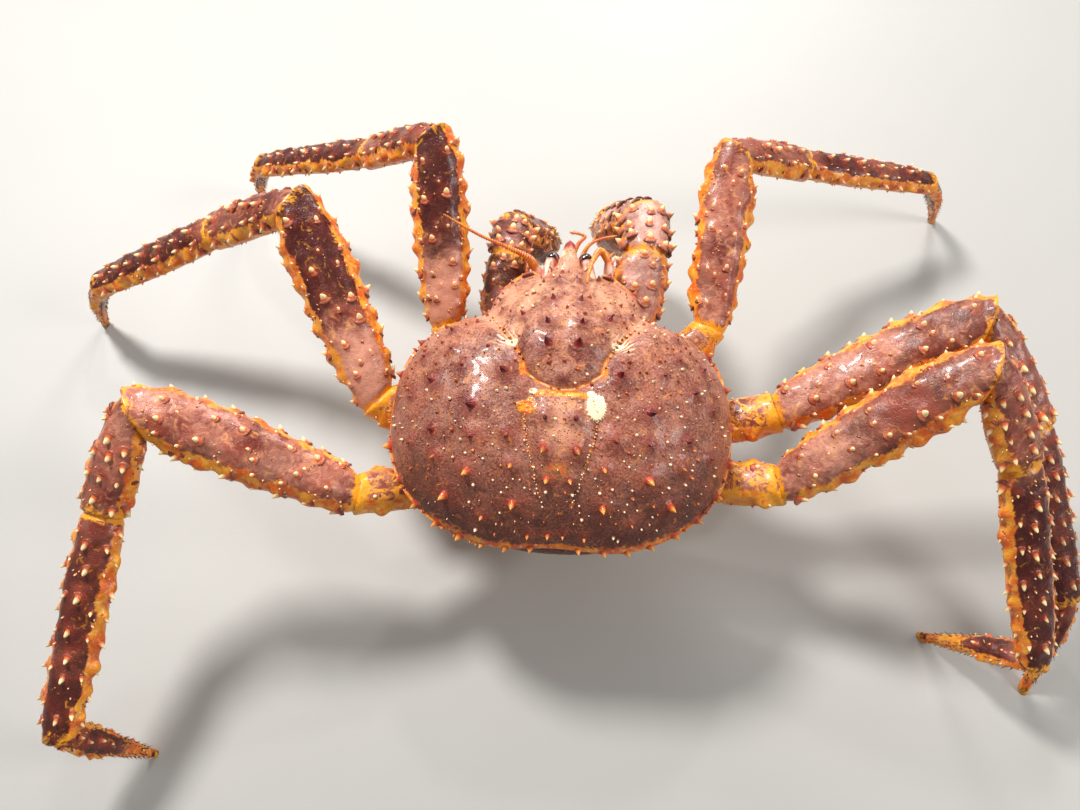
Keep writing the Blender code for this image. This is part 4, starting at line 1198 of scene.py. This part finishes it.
def addBristles(form, limb):
    # Short dark bristles in rows along a foot
    rows = [(math.radians(a), t) for a in (35, 65, 115, 145, 215, 270, 325) for t in np.linspace(0.2,
        0.86, 15)]
    turns, spread = (np.array(v) for v in zip(*rows))
    spread = spread + rng.uniform(-0.02, 0.02, len(rows))
    roots, outs = limb.surface(spread, turns + rng.uniform(-0.15, 0.15, len(rows)))
    addSpines(form, roots, outs + limb.way * 1.3, rng.uniform(1.6, 3.0, len(rows)), 0.42, 0.0,
              curl=0.1, around=5, finish=1)


def makeLegs():
    for side in sides:
        for pair in legs["lengths"]:
            makeLeg(side, pair)


makeLegs()
print("legs made")


clawTones = {
    "ischium": dict(deep=0.0, blush=0.3, joint=0.45, edge=0.35, neck=0.5, under=0.7),
    "merus": dict(deep=0.12, blush=0.6, fringe=0.7),
    "carpus": dict(deep=0.1, blush=0.6, fringe=0.5),
    "palm": dict(deep=0.1, blush=0.6, fringe=0.3, openEnd=False),
}
clawShades = dict(left=0.55, right=0.0)
fingers = dict(around=28, rows=46, teeth=7, spread=1.08)


def addFinger(form, knuckle, palm, lift, length, radius):
    # A finger that bows away from its fellow and meets it at a dark, spooned tip
    t = np.linspace(0, 1, fingers["rows"])
    size = np.interp(t, (0, 0.3, 0.6, 0.85, 1), (1, 0.95, 0.75, 0.45, 0.16))
    rise = lift * np.maximum(1 - t, 0) ** 0.6 + math.copysign(1.8, lift) * t
    path = knuckle + palm.way * (length * t)[:, None] + palm.top * rise[:, None]
    rise = 0.05 * ruffle(path, 5.0, 14)[:, None] + np.zeros(fingers["around"])
    halves = np.stack([radius * size, radius * size * 0.9], -1)
    rings = tubeAlong(path, halves, fingers["around"], palm.side, 2.2, rise)
    points, faces = closedTube(rings)
    tt = allRound(t, fingers["around"])
    form.add(
        points, faces, edge=overTube(0.25 + 0.5 * ease(tt, 0.2, 0.6)),
        joint=overTube(0.8 * ease(-tt, -0.14, -0.02)), deep=overTube(0.9 * ease(tt, 0.72, 0.95)),
        blush=0.3, under=overTube(0.5 * ease(-tt, -0.8, -0.2)), warm=1.0,
    )

    # Blunt pale teeth on the biting edge, knobs outside, and tufts of bristle
    inward = -palm.top * math.copysign(1, lift)
    spread = np.linspace(0.16, 0.84, fingers["teeth"])
    width = np.interp(spread, t, size) * radius
    at = np.stack([np.interp(spread, t, path[:, k]) for k in range(3)], -1)
    addSpines(form, at + inward * (width * 0.72)[:, None], np.tile(inward, (len(spread), 1)),
              width * 0.62, width * 0.5, 1.0, blunt=1.0, curl=0.0, finish=2, around=12)
    for turn in (-0.9, 0.0, 0.9):
        outward = -inward * math.cos(turn) + palm.side * math.sin(turn)
        spots = np.linspace(0.06, 0.62, 5) + rng.uniform(-0.03, 0.03, 5)
        width = np.interp(spots, t, size) * radius
        at = np.stack([np.interp(spots, t, path[:, k]) for k in range(3)], -1)
        at = at + outward * (width * 0.86)[:, None]
        addSpines(form, at, outward + palm.way * 0.5, width * 0.42, width * 0.34, 1.0, blunt=0.6, cream=0.6)
        tufts = np.repeat(at, 5, 0) + rng.uniform(-1, 1, (25, 3))
        ways = outward + palm.way * 0.9 + rng.uniform(-0.3, 0.3, (25, 3))
        addSpines(form, tufts, ways, rng.uniform(2, 3.4, 25), 0.32, 0.4, around=5, finish=1)


def makeClaw(side):
    points, width = claws[side]
    joints = [np.array(p, float) for p in points]
    planes = jointPlanes(joints[:5])
    names = [finish["claw"], finish["horn"], finish["tooth"]]
    for k, part in enumerate(("ischium", "merus", "carpus", "palm")):
        wide = width * (0.72, 1.0, 1.0, 1.1)[k]
        limb = Limb(joints[k], joints[k + 1], wide, wide * 0.84, limbShapes[part], planes[k], planes[k + 1])
        form = Form()
        tone = dict(clawTones[part])
        if part != "ischium":
            tone["deep"] += clawShades[side]
            tone["blush"] *= 1.5 - 2.2 * clawShades[side]
        addLimb(form, limb, clawSpines[part], width / 31, tone)
        if part == "palm":
            reach, radius = float(np.linalg.norm(joints[5] - joints[4])), wide * 0.25
            addFinger(form, joints[4] - limb.way * 4, limb, -radius * 1.05, reach + 4, radius)
            upper = Form()
            addFinger(upper, joints[4] + limb.way * 0.15, limb, radius * 1.12, reach, radius * 0.92)
            upper.make(f"claw_{side}_finger_shell", names, [f"claw_{side}_finger"])
        form.make(f"claw_{side}_{part}_shell", names, [f"claw_{side}_{part}"])


for side in sides:
    makeClaw(side)
print("claws made")


# Head

head = dict(
    stalk=((13, 85, 4.0), (9.5, 100.5, 9.0), 3.7), eyeRadius=4.0,
    antenna=dict(
        left=[
            (-16, 86, -3), (-17.5, 94, 2), (-21, 98, 7), (-25, 99, 13), (-38, 100, 21), (-51, 100.5, 29),
            (-70, 104, 41),
        ],
        right=[
            (22, 86, -4), (23, 95, 1), (22.5, 103, 6), (17.5, 105.5, 12), (13.5, 94, 19), (12, 82, 30),
            (10.5, 70, 39), (10, 62, 44),
        ],
    ),
    antennaRadius=dict(left=[3.2, 3.0, 2.6, 1.8, 1.1, 0.9, 0.6],
        right=[3.2, 3.0, 2.5, 1.9, 1.3, 1.0, 0.8, 0.6]),
    antennule=dict(
        left=[(-4, 86, -3), (-2, 98, 1), (2, 107, 5), (5, 113, 8), (8.5, 117, 9.5), (4, 118, 11),
            (0, 117.5, 12)],
        right=[
            (6, 86, -4), (9, 98, -2), (8, 107, 3), (10, 111.5, 6.5), (14, 114.5, 8.5), (20, 116.3, 10),
            (26.5, 116.7, 12),
        ],
    ),
    antennuleRadius=[1.9, 1.8, 1.6, 1.2, 0.9, 0.7, 0.5],
    maxilliped=[(13, 52, -42), (13, 74, -50), (12, 90, -46), (10, 98, -34), (8, 98, -24)],
    maxillipedRadius=[6.0, 6.0, 5.0, 4.0, 2.4],
)


def makeEye(name, side):
    root, end = (np.array((p[0] * side, p[1], p[2]), float) for p in head["stalk"][:2])
    radius, ball = head["stalk"][2], head["eyeRadius"]
    way = unit(end - root)
    t = np.linspace(0, 1, 40)
    path = root + (end - root) * t[:, None]
    turn = 2 * np.pi * np.arange(32) / 32
    girth = radius * np.interp(t, (0, 0.25, 0.6, 0.85, 1), (1.05, 1.08, 1.0, 1.0, 0.9))
    folds = 0.07 * np.sin(3 * turn[None] + 5 * t[:, None]) + 0.06 * ruffle(path, 4.0, 15)[:, None]
    rings = tubeAlong(path, np.stack([girth, girth], -1), 32, rise=folds)
    form = Form(body=True)
    points, faces = closedTube(rings)
    tt = allRound(t, 32)
    ringed = 0.9 * ease(np.sin(3 * turn[None] + 5 * tt), 0.3, 0.8)
    streaks = 0.75 * ease(np.sin(turn[None] * 2 + 9 * tt), 0.3, 0.8) * ease(-tt, -0.8, -0.6)
    form.add(points, faces, blush=0.95, groove=overTube(ringed), cream=overTube(streaks),
             deep=overTube(0.5 * ease(tt, 0.86, 0.97)))
    along = [10, 16, 22, 28]
    spots = path[along] + upward * (girth[along] * 0.9)[:, None]
    addSpines(form, spots, upward * 0.8 + way * 0.7 + np.zeros((4, 3)), 1.5, 0.8, 0.8, blunt=0.5, around=8)
    form.make("eyestalk_" + name + "_skin", [finish["feeler"]], ["eyestalk_" + name])
    angles = np.radians(np.linspace(0, 89.9, 26))
    path = end + way * (0.3 + ball * np.sin(angles))[:, None]
    girth = np.maximum(ball * np.cos(angles), 0.05)
    eye = Form(body=True)
    eye.add(*closedTube(tubeAlong(path, np.stack([girth, girth], -1), 40)))
    eye.make("eye_" + name + "_cornea", [finish["eye"]], ["eye_" + name])


def addFeeler(form, points, radii, count, rings, blush):
    # A feeler of stout articles that ends in a fine ringed lash
    path = smoothPath(points, count)
    radius = smoothPath(np.array(radii, float)[:, None], count)[:, 0]
    t = np.linspace(0, 1, count)
    run = np.concatenate([[0], np.cumsum(np.linalg.norm(np.diff(path, axis=0), axis=1))])
    stout = ease(-t, -0.42, -0.36)
    articles = 0.16 * stout * (np.abs(np.sin(np.pi * t / 0.14)) - 0.6)
    lash = (1 - stout) * 0.16 * np.cos(2 * np.pi * run / rings)
    rise = allRound(articles + lash, 14)
    made, faces = closedTube(tubeAlong(path, np.stack([radius, radius], -1), 14, rise=rise))
    tt = allRound(t, 14)
    dark = (1 - stout) * 0.8 * (np.cos(2 * np.pi * run / rings) < -0.2)
    form.add(made, faces, blush=overTube(blush * ease(-tt, -0.4, -0.1)),
        groove=overTube(allRound(dark, 14)),
             deep=overTube(0.35 * ease(tt, 0.9, 1.0)))
    return path


def makeFeelers(name, side):
    form = Form(body=True)
    path = addFeeler(form, head["antenna"][name], head["antennaRadius"][name], 420, 1.5, 0.9)
    spots = path[[20, 50, 80, 110, 135]]
    outward = unit(np.array((side, 0.2, 0.5)) + rng.uniform(-0.3, 0.3, (5, 3)))
    addSpines(form, spots + outward * 2.2, outward + np.array((0, 0.9, 0.2)), 3.4, 1.3, 0.6, around=8)
    form.make("antenna_" + name + "_feeler", [finish["feeler"]], ["antenna_" + name])
    form = Form(body=True)
    path = addFeeler(form, head["antennule"][name], head["antennuleRadius"], 160, 1.0, 0.2)
    brush = np.repeat(path[-52:], 5, 0)
    ways = rng.normal(0, 1, brush.shape) + np.array((0, 0.4, -0.7))
    addSpines(form, brush, ways, rng.uniform(1.4, 2.6, len(brush)), 0.13, 0.8, around=4, curl=0.2)
    form.make("antennule_" + name + "_feeler", [finish["feeler"]], ["antennule_" + name])


def makeMouth(name, side):
    points = np.array(head["maxilliped"], float) * (side, 1, 1)
    path = smoothPath(points, 110)
    girth = smoothPath(np.array(head["maxillipedRadius"])[:, None], 110)[:, 0]
    t = np.linspace(0, 1, 110)
    notch = 1 - 0.13 * sum(bell((t - at) / 0.018) for at in (0.27, 0.52, 0.72, 0.87))
    rise = (notch - 1)[:, None] + 0.04 * ruffle(path, 5.0, 17)[:, None] + np.zeros(30)
    form = Form(body=True)
    made, faces = closedTube(tubeAlong(path, np.stack([girth, girth * 0.92], -1), 30, rise=rise))
    tt = allRound(t, 30)
    form.add(made, faces, blush=0.4, under=0.6, joint=overTube(allRound((1 - notch) * 6, 30)),
             deep=overTube(0.2 * ease(tt, 0.7, 1)), warm=1.0)
    count = 260
    at = rng.uniform(0.2, 0.98, count)
    spots = np.stack([np.interp(at, t, path[:, k]) for k in range(3)], -1)
    width = np.interp(at, t, girth)
    inward, ahead, up = (rng.uniform(*ends, count) for ends in ((0.2, 1), (-0.2, 0.8), (-0.6, 0.5)))
    out = unit(np.stack([-side * inward, ahead, up], -1))
    addSpines(form, spots + out * (width * 0.85)[:, None], out + np.array((0, 0.4, 0.5)),
              rng.uniform(2.2, 4.2, count), 0.26, 1.0, around=4, finish=1, curl=0.3)
    form.make("maxilliped_" + name + "_limb", [finish["claw"], finish["horn"]],
        ["maxilliped_" + name])


for name, side in sides.items():
    makeEye(name, side)
    makeFeelers(name, side)
    makeMouth(name, side)
print("head made")


# Underside

belly = dict(
    half=(58.0, 57.0), y=9.0,
    rings=[
        (-20.3, 0.95), (-25.0, 0.985), (-30.0, 1.0), (-36.0, 0.975), (-42.0, 0.92), (-46.5, 0.83),
        (-49.0, 0.72), (-49.6, 0.5), (-49.6, 0.25),
    ],
    abdomen=[
        (-36, -30, 34, 9), (-43, -26, 32, 9), (-50, -26.5, 30, 9), (-54.5, -31.5, 34, 9),
        (-55, -38.5, 44, 9),
        (-52, -47, 58, 9), (-44, -54.3, 66, 9), (-26, -56, 62, 8), (2, -56, 46, 8), (26, -54, 22, 6),
    ],
    bands=(0.24, 0.36, 0.47, 0.58, 0.69, 0.79, 0.89),
)


def makeThorax():
    around = 220
    turn = 2 * np.pi * np.arange(around) / around
    cos, sin = np.cos(turn), np.sin(turn)
    levels = smoothPath(belly["rings"], 70)
    rings = []
    for z, scale in levels[::-1]:
        x = belly["half"][0] * scale * np.sign(cos) * np.abs(cos) ** (2 / 2.8)
        y = belly["y"] + belly["half"][1] * scale * np.sign(sin) * np.abs(sin) ** (2 / 2.8)
        rings.append(np.stack([x, y, np.full(around, z)], -1))
    rings = np.array(rings)

    # Plates of the breast, one for each pair of limbs, with furrows between them
    x, y, z = rings[..., 0], rings[..., 1], rings[..., 2]
    furrow = np.zeros(x.shape)
    for at in (-44, -16, 12, 38):
        furrow = np.maximum(furrow, bell((y - at - 0.12 * np.abs(x)) / 1.6))
    furrow = np.maximum(furrow, bell(x / 1.8))
    out = unit(rings - np.array((0, belly["y"], -25)))
    lump = 0.5 * ruffle(rings, 8.0, 18) + 0.2 * ruffle(rings, 3.0, 19)
    inner = ease(np.abs(z + 25), 1, 6)[..., None]
    rings = rings + out * inner * (lump - 1.8 * furrow)[..., None] * 0.8
    form = Form(body=True)
    points, faces = closedTube(rings)
    form.add(points, faces, under=1.0, groove=overTube(0.55 * furrow), blush=0.2, warm=1.0,
             edge=overTube(0.25 * ease(z, -40, -24)))
    form.make("thorax_breast", [finish["carapace"]], ["thorax"])


def makeAbdomen():
    rows = smoothPath(belly["abdomen"], 190)
    path = np.stack([np.zeros(len(rows)), rows[:, 0], rows[:, 1]], -1)
    t = np.linspace(0, 1, len(rows))
    seams = sum(bell((t - at) / 0.007) for at in belly["bands"])
    around = 96
    turn = 2 * np.pi * np.arange(around) / around
    rise = -0.09 * seams[:, None] + np.zeros(around)
    rings = tubeAlong(path, rows[:, 2:] / 2, around, (1.0, 0.0, 0.0), 2.6, rise)
    across = np.abs(rings[..., 0])
    out = unit(rings - path[:, None])
    side = bell((across - 0.45 * rows[:, 2:3] * 0.5) / 1.3)
    lump = 0.4 * ruffle(rings, 5.0, 21) + 0.2 * ruffle(rings, 2.2, 22) - 0.8 * side
    rings = rings + out * lump[..., None] * 0.8
    form = Form(body=True)
    points, faces = closedTube(rings)
    tt = allRound(t, around)
    furrow = 0.5 * allRound(np.minimum(seams, 1), around) * ease(tt, 0.45, 0.6)
    form.add(
        points, faces, under=overTube(0.95 * ease(tt, 0.42, 0.62)),
        deep=overTube(0.85 * ease(-tt, -0.6, -0.4)), groove=overTube(furrow),
        edge=overTube(0.3 * ease(np.abs(np.cos(turn))[None] + 0 * tt, 0.9, 1)), warm=1.0,
    )
    spots, ways = [], []
    for k in range(30, 186, 7):
        for angle in np.radians((230, 250, 270, 290, 310)):
            column = int((angle + rng.uniform(-0.1, 0.1)) / (2 * np.pi) * around) % around
            spots.append(rings[k, column])
            ways.append(out[k, column])
    size = rng.uniform(0.9, 1.9, len(spots))
    addSpines(form, spots, ways, size * 1.3, size, 1.0, blunt=0.6, around=8, cream=0.5)
    form.make("abdomen_plates", [finish["carapace"]], ["abdomen"])


def makeFloor():
    form = bpy.data.meshes.new("floor")
    form.from_pydata([(-4, -4, 0), (4, -4, 0), (4, 4, 0), (-4, 4, 0)], [], [(0, 1, 2, 3)])
    form.materials.append(floorFinish())
    made = bpy.data.objects.new("floor", form)
    bpy.context.scene.collection.objects.link(made)


makeThorax()
makeAbdomen()
makeFloor()
print("underside and floor made")
